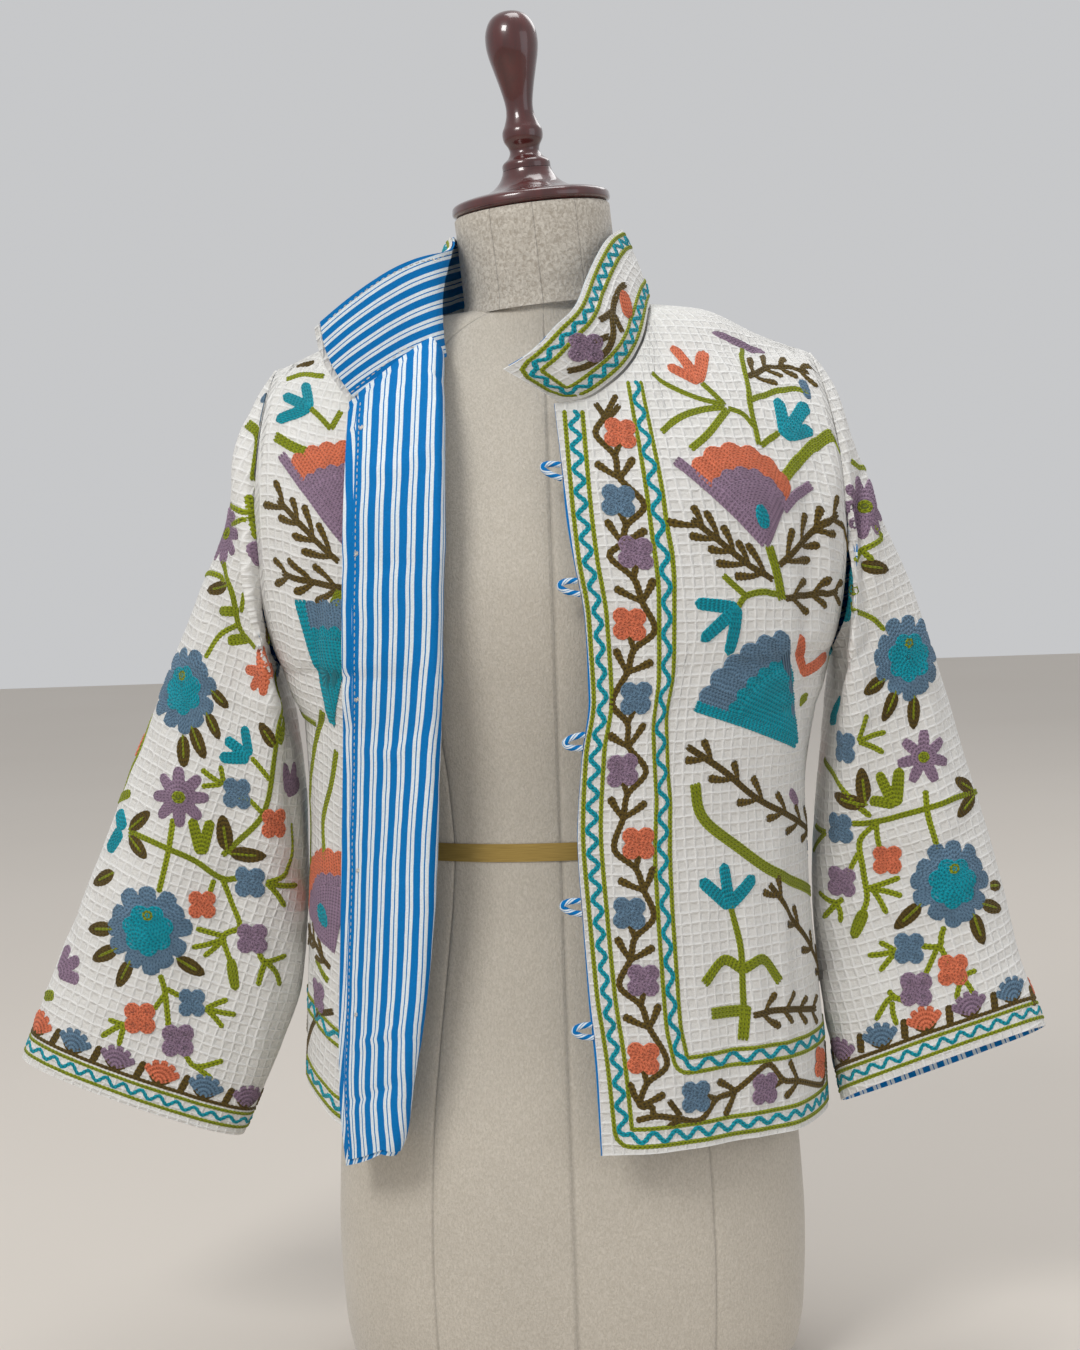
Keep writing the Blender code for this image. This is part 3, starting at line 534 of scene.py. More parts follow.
def frontLeftPoint(s, t):
    near = read(leftEdge, "x", mix(203, 732, t))
    topX = mix(5.0, 194.0, s)
    top = np.where(topX < 78, read(leftTop, "z", topX), read(shoulder, "right", topX))
    z = mix(read(leftHem, "z", s), top, t)
    edgeX, _ = armholeAt(z, 1, True)
    return bodyPoint(mix(near, edgeX, s), z, 1, True, bodyFolds)


def frontRightPanel(s, t):
    topX = mix(74.0, 197.0, s)
    top = np.where(topX < 86, read(rightTop, "z", topX), read(shoulder, "left", np.minimum(194.0, topX)))
    z = mix(read(rightHem, "z", s), top, t)
    edgeX, _ = armholeAt(z, -1, True)
    near = read(rightFold, "x", mix(206, 776, t))
    return bodyPoint(mix(near, edgeX, s), z, -1, True, bodyFolds)


def unit(v):
    return v / np.maximum(np.linalg.norm(v, axis=-1, keepdims=True), 1e-9)


def lengthsAlong(path):
    # how far along a path each of its points is
    return np.concatenate([[0], np.cumsum(np.linalg.norm(np.diff(path, axis=0), axis=1))])


def placesOn(path, gaps, where):
    return np.stack([np.interp(where, gaps, path[:, a]) for a in (0, 1)], -1)


def sideways(path):
    # the directions square to a flat path
    ahead = unit(np.gradient(path, axis=0))
    return np.stack([-ahead[:, 1], ahead[:, 0]], -1)


def frontRightPoint(s, t):
    s, t = np.broadcast_arrays(np.asarray(s, float), np.asarray(t, float))
    panel = frontRightPanel(np.maximum(s, 0), t)
    start = frontRightPanel(np.zeros_like(s), t)
    ahead = unit(start - frontRightPanel(np.full_like(s, 0.06), t))
    higher, lower = (frontRightPanel(np.zeros_like(s), np.clip(t + d, 0, 1)) for d in (0.02, -0.02))
    up = unit(higher - lower)
    out = unit(np.cross(ahead, up))
    out = np.where(out[..., 1:2] > 0, -out, out)
    radius = jacket["foldRadius"] + jacket["cloth"]
    turn = (pi * np.clip(-s / 0.22, 0, 1))[..., None]
    roll = start + out * radius * (1 - np.cos(turn)) + ahead * radius * np.sin(turn)
    farX, farZ = read(flap, "edgeX", t), read(flap, "edgeZ", t)
    behind = bodyPoint(farX, np.maximum(farZ, 205), -1, True, bodyFolds)[..., 1]
    far = np.stack([farX, behind - 2 * jacket["cloth"] - read(flap, "stand", t), farZ], -1)
    u = np.clip((-s - 0.22) / 0.78, 0, 1)[..., None]
    swell = 4 * np.sin(pi * u) * (1 + 0.5 * np.sin(9 * t))[..., None]
    turned = mix(start + out * 2 * radius, far, u) + np.concatenate([0 * swell, -swell, 0 * swell], -1)
    s = s[..., None]
    return np.where(s >= 0, panel, np.where(s > -0.22, roll, turned))


def backPoint(s, t):
    s, t = np.broadcast_arrays(np.asarray(s, float), np.asarray(t, float))
    halves = []
    for side, arm, neck, name, hem in ((1, 194.0, 78.0, "right", 200), (-1, 197.0, 86.0, "left", 236)):
        topX = np.abs(s) * arm
        ridge = read(shoulder, name, np.minimum(194.0, topX))
        top = np.where(topX < neck, read(backTop, "z", topX * 86 / neck), ridge)
        z = mix(mix(202, hem, np.abs(s) ** 3), top, t)
        edgeX, _ = armholeAt(z, side, False)
        halves.append(bodyPoint(np.abs(s) * edgeX, z, side, False, backFolds))
    return np.where(s[..., None] >= 0, halves[0], halves[1])


def sleevePoint(turn, t, side):
    rows = sleeveLeftRows if side > 0 else sleeveRightRows
    turn, t = np.broadcast_arrays(np.asarray(turn, float), np.asarray(t, float))
    c, s = np.cos(np.radians(turn)), np.sin(np.radians(turn))
    outX, outZ, inX, inZ = (read(rows, name, t) for name in ("outX", "outZ", "inX", "inZ"))
    x, z = (outX + inX) / 2 + (outX - inX) / 2 * c, (outZ + inZ) / 2 + (outZ - inZ) / 2 * c
    depth = np.where(s >= 0, read(rows, "front", t), read(rows, "back", t))
    wave = np.abs(s) ** mix(1.0, 0.72, np.minimum(1.0, t * 1.6)) * np.sign(s)
    y = read(rows, "midY", t) - depth * wave
    z = z + depth * wave * read(rows, "tilt", t)
    x = x + side * 12 * s * s * np.maximum(0.0, 1 - t / 0.2)
    for place, deep, width, low, high in sleeveFolds:
        lift = deep * hump(turn % 360, place, width) * np.sin(pi * np.clip((t - low) / (high - low), 0, 1))
        x, y, z = x + c * 0.6 * side * lift, y - s * lift, z + c * 0.4 * lift
    under = (1 - c) / 2    # the head stands clear of the body's cloth all round
    clear = (jacket["seam"] + 0.7 + (2 * jacket["cloth"] + 0.3) * under ** 2) * np.maximum(0.0, 1 - t / 0.5)
    return np.stack([x + side * clear, y, z], -1)


def seamPath():
    # the neckline from the wearer's left front round the back to the flap's edge
    i = np.arange(21) / 20
    points = [frontLeftPoint(mix(0.03, 0.386, np.sin(pi / 2 * i)), 1.0)]
    points.append(backPoint(mix(jacket["neckRight"] / 194, 0, np.arange(1, 7) / 6), 1.0))
    points.append(backPoint(mix(0, -jacket["neckLeft"] / 197, np.arange(1, 6) / 6), 1.0))
    points.append(frontRightPoint(mix(0.0976, 0, (np.arange(11) / 10) ** 2), 1.0))
    points.append(frontRightPoint(mix(0, -0.22, np.arange(1, 5) / 5), 1.0))
    points.append(frontRightPoint(mix(-0.22, -1, np.arange(7) / 6), 1.0))
    points = np.concatenate(points)
    lengths = lengthsAlong(points)
    return points, lengths / lengths[-1]


neckline = seamPath()


def collarPoint(k, h):
    points, places = neckline
    k, h = np.broadcast_arrays(np.asarray(k, float), np.asarray(h, float))
    base = np.stack([np.interp(k, places, points[:, a]) for a in range(3)], -1)
    up = np.stack([read(collarRows, name, k) for name in ("dx", "dy", "dz")], -1)
    lift = (2 * jacket["cloth"] + 0.5 + 2.0 * hump(k, 0.77, 0.10))[..., None]
    swell = (3.0 * np.sin(pi * h))[..., None]
    bulge = np.stack([base[..., 0] / 90, base[..., 1] / 120, 0 * k], -1)
    return base + unit(up) * lift + up * h[..., None] + bulge * swell


# cloth: a fine sheet with its flat coordinates, on which everything is sewn

class Cloth:
    def __init__(self, name, columns, rows, point, outward, closed=False, cut="strip"):
        self.name, self.closed, self.cut = name, closed, cut
        self.columns, self.rows = np.array(columns, float), np.array(rows, float)
        s, t = np.meshgrid(self.columns, self.rows)
        self.grid = point(s, t)
        self.sign = outward
        self.zero = int(np.argmin(np.abs(self.columns)))
        self.weave = None
        self.measure()

    def measure(self):
        # flat place of every grid point: u across from the zero column, v along from the first row
        across, along = np.diff(self.grid, axis=1), np.diff(self.grid, axis=0)
        if self.cut == "panel":      # slanting rows don't stretch a panel: across is level, along is upright
            across = across[..., :2]
            along = along[..., 1:]
        if self.cut == "sleeve":     # along is the outer line's direction, across is square to it
            first, last = self.grid[0, self.zero], self.grid[-1, self.zero]
            axis = unit((last - first) * (1, 0, 1))
            beside = np.array([-axis[2], 0, axis[0]]) * self.sign
            across = across - (across @ axis)[..., None] * axis
        step = np.linalg.norm(across, axis=2)
        u = np.concatenate([np.zeros((len(self.rows), 1)), np.cumsum(step, axis=1)], axis=1)
        self.u = u - u[:, self.zero:self.zero + 1]
        step = np.linalg.norm(along, axis=2)
        self.v = np.concatenate([np.zeros((1, len(self.columns))), np.cumsum(step, axis=0)], axis=0)
        if self.cut == "sleeve":
            self.u = self.u - ((self.grid[:, self.zero] - first) @ beside)[:, None]
            self.v = (self.grid - first) @ axis
        self.findNormals()

    def findNormals(self):
        across = np.gradient(self.grid, axis=1)
        if self.closed:    # the first and last column are the same line
            across[:, 0] = across[:, -1] = self.grid[:, 1] - self.grid[:, -2]
        along = np.gradient(self.grid, axis=0)
        self.normal = unit(np.cross(across, along)) * self.sign

    def crease(self, lines):
        # soft uneven troughs and ridges, each along a line of flat places
        lift = np.zeros_like(self.u)
        for points, depth, width in lines:
            path = np.array(points, float)
            best = np.full_like(self.u, 1e9)
            where = np.zeros_like(self.u)
            total = len(path) - 1
            for k in range(total):
                a, d = path[k], path[k + 1] - path[k]
                f = np.clip(((self.u - a[0]) * d[0] + (self.v - a[1]) * d[1]) / max(d @ d, 1e-9), 0, 1)
                far = np.hypot(self.u - a[0] - f * d[0], self.v - a[1] - f * d[1])
                side = np.sign((self.u - a[0]) * d[1] - (self.v - a[1]) * d[0])
                far = far * np.where(side > 0, 1.0, 0.72)    # one side falls away faster
                where = np.where(far < best, (k + f) / total, where)
                best = np.minimum(best, far)
            taper = np.sin(pi * np.clip(where * 0.9 + 0.05, 0, 1)) ** 0.6
            lift += depth * np.exp(-(best / width) ** 2 * 2.2) * taper
        return lift

    def shape(self, lines=(), rough=0.5, seed=0.0, hold=6.0):
        # listed folds, and a little unevenness, that die out at the sewn edges
        lift = self.crease([(at(self, *line), depth, width) for line, depth, width in lines])
        for share, wide, high, layer in ((1.0, 33, 41, seed), (0.5, 12, 14, seed + 7)):
            places = zip(self.u.flat, self.v.flat)
            wavy = [noise.noise(Vector((u / wide, v / high, layer))) for u, v in places]
            lift = lift + rough * share * np.array(wavy).reshape(self.u.shape)
        edge = np.minimum(self.v, self.v[-1:] - self.v)
        if not self.closed:
            edge = np.minimum(edge, np.minimum(self.u - self.u[:, :1], self.u[:, -1:] - self.u))
        lift = lift * np.clip(edge / hold, 0.12, 1)
        if self.cut == "panel":    # the pressed seam along the shoulder stands up as a soft welt
            beyond = np.abs(self.grid[-1, :, 0]) > 84
            lift = lift + 1.1 * np.exp(-((self.v[-1:] - self.v - 3.2) / 2.2) ** 2) * beyond
        if self.name == "backPanel":    # the sleeves and fronts lie close on its sides
            lift = lift * np.clip((np.abs(self.u[:, -1:]) - np.abs(self.u)) / 30, 0.1, 1)
        self.grid = self.grid + self.normal * lift[..., None]
        self.findNormals()
        faceThe(self, self.right, self.up, self.span)

    def sample(self, field, i, j):
        # value of a grid of numbers or points between its lines
        a = np.clip(np.floor(i).astype(int), 0, field.shape[1] - 2)
        b = np.clip(np.floor(j).astype(int), 0, field.shape[0] - 2)
        f, g = i - a, j - b
        if field.ndim == 3:
            f, g = f[:, None], g[:, None]
        return (field[b, a] * (1 - f) * (1 - g) + field[b, a + 1] * f * (1 - g)
                + field[b + 1, a] * (1 - f) * g + field[b + 1, a + 1] * f * g)

    def invert(self, first, second, p, q, low=0, high=None):
        # grid place at which the two fields have these values
        high = first.shape[1] - 1 if high is None else high
        p, q = np.asarray(p, float).ravel(), np.asarray(q, float).ravel()
        cols = np.unique(np.linspace(low, high, 26).astype(int))
        rows = np.unique(np.linspace(0, first.shape[0] - 1, 30).astype(int))
        a, b = first[np.ix_(rows, cols)].ravel(), second[np.ix_(rows, cols)].ravel()
        i0, j0 = np.meshgrid(cols, rows)
        i, j = np.zeros(len(p)), np.zeros(len(p))
        for start in range(0, len(p), 4000):
            part = slice(start, start + 4000)
            near = np.argmin((a[None] - p[part, None]) ** 2 + (b[None] - q[part, None]) ** 2, axis=1)
            i[part], j[part] = i0.ravel()[near], j0.ravel()[near]
        for _ in range(14):
            a0, b0 = self.sample(first, i, j), self.sample(second, i, j)
            ai = self.sample(first, i + 0.5, j) - self.sample(first, i - 0.5, j)
            aj = self.sample(first, i, j + 0.5) - self.sample(first, i, j - 0.5)
            bi = self.sample(second, i + 0.5, j) - self.sample(second, i - 0.5, j)
            bj = self.sample(second, i, j + 0.5) - self.sample(second, i, j - 0.5)
            det = ai * bj - aj * bi
            det = np.where(np.abs(det) < 1e-6, 1e-6, det)
            di = ((p - a0) * bj - (q - b0) * aj) / det
            dj = ((q - b0) * ai - (p - a0) * bi) / det
            i = np.clip(i + np.clip(di, -5, 5), low, high)
            j = np.clip(j + np.clip(dj, -5, 5), 0, first.shape[0] - 1)
        return i, j

    def seen(self, x, z, low=0, high=None):
        # flat place of a point that is seen at x, z from the front or the back
        i, j = self.invert(self.grid[..., 0], self.grid[..., 2], x, z, low, high)
        return self.sample(self.u, i, j), self.sample(self.v, i, j)


def linkMesh(name, verts, faces, materials, uv, index=None, sharp=60, node=None):
    # a smooth mesh on the root body, from millimetres; uv has a place for each vertex or each face corner
    mesh = bpy.data.meshes.new(name)
    mesh.from_pydata((np.asarray(verts, float) * mm).tolist(), [], faces)
    for material in materials:
        mesh.materials.append(material)
    uv = np.asarray(uv, float)
    if len(uv) == len(verts):
        corner = np.empty(len(mesh.loops), int)
        mesh.loops.foreach_get("vertex_index", corner)
        uv = uv[corner]
    mesh.uv_layers.new(name="cloth").data.foreach_set("uv", uv.ravel())
    if index is not None:
        mesh.polygons.foreach_set("material_index", index)
    mesh.update()
    mesh.shade_smooth()
    if sharp:
        mesh.set_sharp_from_angle(angle=radians(sharp))
    obj = bpy.data.objects.new(name, mesh)
    bpy.context.scene.collection.objects.link(obj)
    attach(obj, "root")
    if node:
        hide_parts(node)
    return obj


def ringFaces(rings, sides):
    # quads between rings of points, then a fan at each end round the two last points
    faces = []
    for i in range(sides):
        k = (i + 1) % sides
        faces += [(j + i, j + k, j + sides + k, j + sides + i) for j in range(0, (rings - 1) * sides, sides)]
    for i in range(sides):
        k = (i + 1) % sides
        faces.append((rings * sides, k, i))
        faces.append((rings * sides + 1, (rings - 1) * sides + i, (rings - 1) * sides + k))
    return faces


def turnFacesOut(obj):
    work = bmesh.new()
    work.from_mesh(obj.data)
    bmesh.ops.recalc_face_normals(work, faces=work.faces)
    work.to_mesh(obj.data)
    work.free()


def sewCloth(cloth, outer, inner, thickness, node, facts, rolled=None):
    # the sheet with its wall: outside one cloth, inside the other
    n, rows = cloth.grid.shape[1], cloth.grid.shape[0]
    width = n - 1 if cloth.closed else n
    thick = cloth.grid + cloth.normal * thickness
    under = cloth.grid.copy()
    if rolled is not None:     # the lining rolls out past the first column's edge
        under[:, 0] += unit(cloth.grid[:, 0] - cloth.grid[:, 1]) * rolled(cloth.v[:, 0])[:, None]
    verts = np.concatenate([thick[:, :width].reshape(-1, 3), under[:, :width].reshape(-1, 3)])
    back = rows * width
    faces, index = [], []
    uv = np.stack([cloth.u, cloth.v], -1) if cloth.weave is None else cloth.weave
    # the uv is set corner by corner, because a tube's last column meets its first
    cornerUv = []

    def put(quad, places, material):
        faces.append(quad)
        index.append(material)
        cornerUv.extend(places)

    for j in range(rows - 1):
        for i in range(n - 1):
            k = (i + 1) % width
            quad = (j * width + i, j * width + k, (j + 1) * width + k, (j + 1) * width + i)
            places = (uv[j, i], uv[j, i + 1], uv[j + 1, i + 1], uv[j + 1, i])
            front, rear = (quad, places), (quad[::-1], places[::-1])
            if cloth.sign < 0:
                front, rear = rear, front
            put(front[0], front[1], 0)
            put(tuple(back + q for q in rear[0]), rear[1], 1)
    ring = []
    for i in range(n - 1):
        ring.append(((0, i), (0, i + 1)))
        ring.append(((rows - 1, i + 1), (rows - 1, i)))
    if not cloth.closed:
        for j in range(rows - 1):
            ring.append(((j, n - 1), (j + 1, n - 1)))
            ring.append(((j + 1, 0), (j, 0)))
    for (ja, ia), (jb, ib) in ring:
        a, b = ja * width + ia % width, jb * width + ib % width
        lined = rolled is not None and ia == ib == 0
        here, there = (uv[j, i] + (1.5 if lined else 0.0, 0.0) for j, i in ((ja, ia), (jb, ib)))
        turn = 1 if cloth.sign > 0 else -1
        put((a, back + a, back + b, b)[::turn], (here, here, there, there)[::turn], int(lined))
    cloth.obj = linkMesh(cloth.name, verts, faces, (outer, inner), cornerUv, index, node=node)
    cloth.wall = thickness
    cloth.sheetFacts = facts


# embroidery: rows of chain stitch laid on the flat cloth, then carried to its surface

needle = dict(row=2.9, pitch=2.35, height=0.95, step=1.65)


def photoPlace(points):
    # where a point shows in the 1080 by 1350 frame
    turn = bpy.context.scene.camera.matrix_world.inverted()
    m = np.array(turn)
    local = np.asarray(points) * mm @ m[:3, :3].T + m[:3, 3]
    scale = view["lens"] / 36 * 1350
    return 540 + scale * local[..., 0] / -local[..., 2], 675 - scale * local[..., 1] / -local[..., 2]


def faceThe(cloth, right, up, span=(0.0, 1.0)):
    # which way the cloth's own directions run for someone who looks at its outside
    cloth.right, cloth.up, cloth.span = right, up, span
    cloth.px, cloth.py = photoPlace(cloth.grid)
    n = len(cloth.columns) - 1
    cloth.low, cloth.high = int(span[0] * n), int(span[1] * n)
    cloth.rowsOf, cloth.patches = [], []
    cloth.measured, cloth.mirror = False, 1


def at(cloth, *places):
    # flat places of points: picked in the frame, or measured right and up on the cloth itself
    if cloth.measured:
        a, b = np.array(places, float).T
        return np.stack([cloth.right * a * cloth.mirror, b if cloth.up > 0 else cloth.v.max() - b], -1)
    px, py = np.array(places, float).T
    if cloth.name == "frontLeft":    # this hem ends a little higher at the side than the frame's
        py = py - 24 * np.clip((px - 690) / 130, 0, 1) * np.clip((py - 720) / 400, 0, 1) ** 1.4
    i, j = cloth.invert(cloth.px, cloth.py, px, py, cloth.low, cloth.high)
    return np.stack([cloth.sample(cloth.u, i, j), cloth.sample(cloth.v, i, j)], -1)


def heading(cloth, place, turn):
    # a direction (degrees clockwise from up), on the flat cloth
    if cloth.measured:
        a = radians(turn * cloth.mirror)
        return np.array([sin(a) * cloth.right, cos(a) * cloth.up])
    d = 12.0
    a = at(cloth, place, (place[0] + d * sin(radians(turn)), place[1] - d * cos(radians(turn))))
    return unit(a[1] - a[0])


def smooth(points):
    # an even curve through a few points
    p = np.asarray(points, float)
    if len(p) == 2:
        return mix(p[0], p[1], np.linspace(0, 1, 12)[:, None])
    q = np.concatenate([2 * p[:1] - p[1:2], p, 2 * p[-1:] - p[-2:-1]])
    out = []
    for k in range(len(q) - 3):
        t = np.linspace(0, 1, 14, endpoint=False)[:, None]
        a, b, c, d = q[k:k + 4]
        bend, twist = 2 * a - 5 * b + 4 * c - d, 3 * b - a - 3 * c + d
        out.append(0.5 * (2 * b + (c - a) * t + bend * t ** 2 + twist * t ** 3))
    return np.concatenate(out + [q[-2:-1]])


def row(cloth, colour, path, width=None, lift=0.0, closed=False, height=None, thick=None):
    # one row of chain stitch along a flat path
    path = np.asarray(path, float)
    if closed:
        path = np.concatenate([path, path[:1]])
    gaps = lengthsAlong(path)
    if gaps[-1] < 1.5:
        return
    count = max(3, int(round(gaps[-1] / needle["step"])) + 1)
    where = np.linspace(0, gaps[-1], count)
    line = placesOn(path, gaps, where)
    w = np.full(count, width or needle["row"]) * (0.87 + 0.24 * (np.arange(count) % 2))
    if thick is not None:
        w *= np.interp(np.linspace(0, 1, count), np.linspace(0, 1, len(thick)), thick)
    if not closed:
        w[0] *= 0.55
        w[-1] *= 0.55
    cloth.rowsOf.append((colour, line, where, w, lift, height or needle["height"], closed))


def wave(path, amplitude, period):
    # a smooth zigzag along a flat path
    path = np.asarray(path, float)
    gaps = lengthsAlong(path)
    where = np.linspace(0, gaps[-1], max(8, int(gaps[-1] / period * 12)))
    line = placesOn(path, gaps, where)
    side = sideways(line)
    uneven = 1 + 0.18 * np.sin(where / 37.0)
    swing = amplitude * np.sin(2 * pi * where / period + 0.6 * np.sin(where / 61.0)) * uneven
    return line + side * swing[:, None]


def stem(cloth, colour, *places, width=3.0, lift=0.0, thick=None):
    # a line of one or more rows side by side through points picked in the frame
    path = smooth(at(cloth, *places))
    flatStem(cloth, colour, path, width, lift, thick)


def flatStem(cloth, colour, path, width, lift=0.0, thick=None):
    count = max(1, int(round(width / 2.7)))
    side = sideways(path)
    for k in range(count):
        shift = (k - (count - 1) / 2) * width / count
        row(cloth, colour, path + side * shift, width / count * 1.12, lift, thick=thick)


def stems(cloth, colour, width, *lines):
    for line in lines:
        stem(cloth, colour, *line, width=width)


def frameOf(cloth, place, turn):
    # centre and directions of a motif that is picked in the frame
    centre = at(cloth, place)[0]
    forward = heading(cloth, place, turn)
    across = np.array([forward[1], -forward[0]]) * cloth.right * cloth.up
    return centre, across, forward


def put(spot, points):
    # motif places (across, forward) in millimetres, on the flat cloth
    centre, across, forward = spot
    p = np.asarray(points, float)
    return centre + p[..., :1] * across + p[..., 1:] * forward


def turned(spot, angle, ahead=0.0):
    # the same motif frame, moved and turned clockwise
    centre, across, forward = spot
    c, s = cos(radians(angle)), sin(radians(angle))
    return centre + forward * ahead, across * c - forward * s, forward * c + across * s


def patch(cloth, colour, spot, outline, lift=0.0):
    # a thin ground of the same yarn, so that no cloth shows between the rows
    cloth.patches.append((colour, put(spot, [(0, 0)])[0], put(spot, outline), lift))


def petal(cloth, colour, spot, length, width, lift=0.0, blunt=0.5):
    # lengthwise rows between two curved sides; blunt 0 is pointed, 1 is a rounded finger
    n = max(1, int(round(width / needle["pitch"])))
    s = np.linspace(0, 1, 18)
    swell = mix(np.sin(pi * s ** 0.8) ** 0.8, np.minimum(1, 4.5 * np.sin(pi * s)) ** 0.6, blunt)
    for k in range(n):
        off = (k - (n - 1) / 2) / n * width
        trim = 1 - 0.16 * (2 * off / width) ** 2
        path = np.stack([off * swell, length * (0.5 + (s - 0.5) * trim)], -1)
        row(cloth, colour, put(spot, path), width / n * 1.15, lift)
    edges = [np.stack([half * width * swell, length * s], -1) for half in (0.44, -0.44)]
    ring = np.concatenate([edges[0], edges[1][::-1]])
    patch(cloth, colour, turned(spot, 0, ahead=length / 2), ring - (0, length / 2), lift)


def petals(cloth, colour, *each, lift=0.0, blunt=0.5):
    # each is its base in the frame, its turn, its length and its width
    for place, turn, length, width in each:
        petal(cloth, colour, frameOf(cloth, place, turn), length, width, lift, blunt)


def disc(cloth, colour, spot, radius, lobes=0, depth=0.0, lift=0.0, squash=1.0):
    # rows that run round and round, with a plain or lobed edge
    turn = np.linspace(0, 2 * pi, 72, endpoint=False)
    n = max(1, int(radius / needle["pitch"]))
    for k in range(n):
        r = radius - needle["pitch"] * (k + 0.5)
        edge = r + depth * (r / radius) ** 2 * (np.abs(np.sin(lobes * turn / 2)) - 0.5 if lobes else 0)
        if r > 0.6:
            path = np.stack([edge * np.sin(turn) * squash, edge * np.cos(turn)], -1)
            row(cloth, colour, put(spot, path), needle["pitch"] * 1.2, lift, closed=True)
    row(cloth, colour, put(spot, [(-0.9, 0), (0, 0.3), (0.9, 0)]), 2.8, lift)
    edge = radius * 0.94 + (depth * (np.abs(np.sin(lobes * turn / 2)) - 0.5) if lobes else 0)
    patch(cloth, colour, spot, np.stack([edge * np.sin(turn) * squash, edge * np.cos(turn)], -1), lift)


def tulip(cloth, colour, place, turn, size=17.0, width=8.0):
    # three blunt fingers from one base
    spot = frameOf(cloth, place, turn)
    for angle, share, lift in ((-44, 1.15, 0.05), (44, 1.15, 0.05), (0, 1.2, 0.2)):
        petal(cloth, colour, turned(spot, angle, ahead=-1.5), size * share, width * 1.15, lift, blunt=0.9)


def fan(cloth, rim, fill, base, left, right, top=None, band=0.22, arms=(1.15, 0.9), drop=None):
    # a carnation from the side, through its picked corners: a solid wedge with a scalloped rim and two arms
    centre, one, two = at(cloth, base, left, right)
    reachOne, reachTwo = np.linalg.norm(one - centre), np.linalg.norm(two - centre)
    forward = unit(unit(one - centre) + unit(two - centre))
    across = np.array([forward[1], -forward[0]])
    if (two - one) @ across < 0:
        across = -across
    spot = (centre, across, forward)
    half = np.arccos(np.clip(unit(one - centre) @ forward, -1, 1))
    radius, skew = (reachOne + reachTwo) / 2, (reachTwo - reachOne) / (reachOne + reachTwo)
    swell = 0.0
    if top is not None:
        peak = at(cloth, top)[0] - centre
        share = np.arctan2(peak @ across, peak @ forward) / half
        swell = (np.linalg.norm(peak) / radius - 1 - skew * share) / (1 - share ** 2)

    def reach(a):
        return 1 + skew * a + swell * (1 - a * a)

    n = int(radius * (1 + max(swell, 0)) / needle["pitch"])
    for k in range(1, n):
        r = radius * (k + 0.3) / n
        outer = k >= n * (1 - band)
        a = np.linspace(-1, 1, max(6, int(r * 2 * half / 1.4)))
        scallop = np.abs(np.sin(a * half * radius / 4.2)) * (k >= n * (1 - band) - 3)
        edge = r * reach(a) * (1 + 0.05 * scallop)
        path = np.stack([edge * np.sin(half * a), edge * np.cos(half * a)], -1)
        row(cloth, rim if outer else fill, put(spot, path), radius * (1 + max(swell, 0)) / n * 1.25, 0.1)
    a = np.linspace(-1, 1, 30)
    for colour, share, lift in ((rim, 1.0, 0.0), (fill, 1 - band * 0.9, 0.12)):
        edge = radius * share * reach(a)
        ring = np.concatenate([np.stack([edge * np.sin(half * a), edge * np.cos(half * a)], -1), [(0, 0)]])
        middle = radius * 0.55 * share
        patch(cloth, colour, turned(spot, 0, ahead=middle), ring - (0, middle), lift)
    for side, share in ((-1, arms[0]), (1, arms[1])):
        if share:
            tip = np.array([sin(half * side), cos(half * side)]) * radius * share * reach(side)
            path = np.linspace((1.5 * side, 3), tip + (2.4 * side, 0), 20)
            flatStem(cloth, fill, put(spot, path), 8.0, 0.25)
    if drop:
        disc(cloth, drop, turned(spot, 0, ahead=radius * 0.36), 8.5, squash=0.55, lift=0.9)


def fingers(cloth, colour, base, *tips, width=9.0):
    # blunt fingers from one base to tips picked in the frame
    spots = at(cloth, base, *tips)
    for k, tip in enumerate(spots[1:]):
        forward = unit(tip - spots[0])
        across = np.array([forward[1], -forward[0]]) * cloth.right * cloth.up
        length = float(np.linalg.norm(tip - spots[0])) + 2
        petal(cloth, colour, (spots[0] - forward * 2, across, forward), length, width, 0.12 * k, blunt=0.9)


def crossFlower(cloth, colour, place, radius=11.0):
    # four round lobes, each a little coil
    spot = frameOf(cloth, place, 0.0)
    for k in range(4):
        disc(cloth, colour, move(spot, 45 + 90 * k, radius * 0.60), radius * 0.50, lift=0.4 + 0.05 * k)
    disc(cloth, colour, spot, radius * 0.2, lift=0.5)


def crossFlowers(cloth, colour, *each):
    for place, radius in each:
        crossFlower(cloth, colour, place, radius)


def move(spot, angle, distance):
    # a motif frame shifted in one of its own directions, and turned to face that way
    centre, across, forward = turned(spot, angle)
    return centre + forward * distance, across, forward


def daisy(cloth, colour, place, radius=17.0, petals=8):
    spot = frameOf(cloth, place, 0.0)
    for k in range(petals):
        base = move(spot, 360 / petals * k, radius * 0.2)
        petal(cloth, colour, base, radius * 0.8, radius * 0.40, blunt=0.6)
    disc(cloth, "olive", spot, radius * 0.2, lift=0.5)


def rose(cloth, rim, heart, place, radius=28.0):
    # a big round flower: rayed rim, coiled heart, a dot on its stalk
    spot = frameOf(cloth, place, 0.0)
    for k in range(12):
        reach = radius * (0.60 + 0.05 * sin(k * 2.4))
        base = move(spot, 30 * k + 4 * sin(k * 1.7), radius * 0.40)
        petal(cloth, rim, base, reach, radius * 0.43, 0.12 * (k % 3), blunt=0.85)
    disc(cloth, heart, spot, radius * 0.54, lobes=7, depth=radius * 0.14, lift=0.75)
    disc(cloth, "olive", turned(spot, 0, ahead=radius * 0.34), radius * 0.13, lift=1.0)


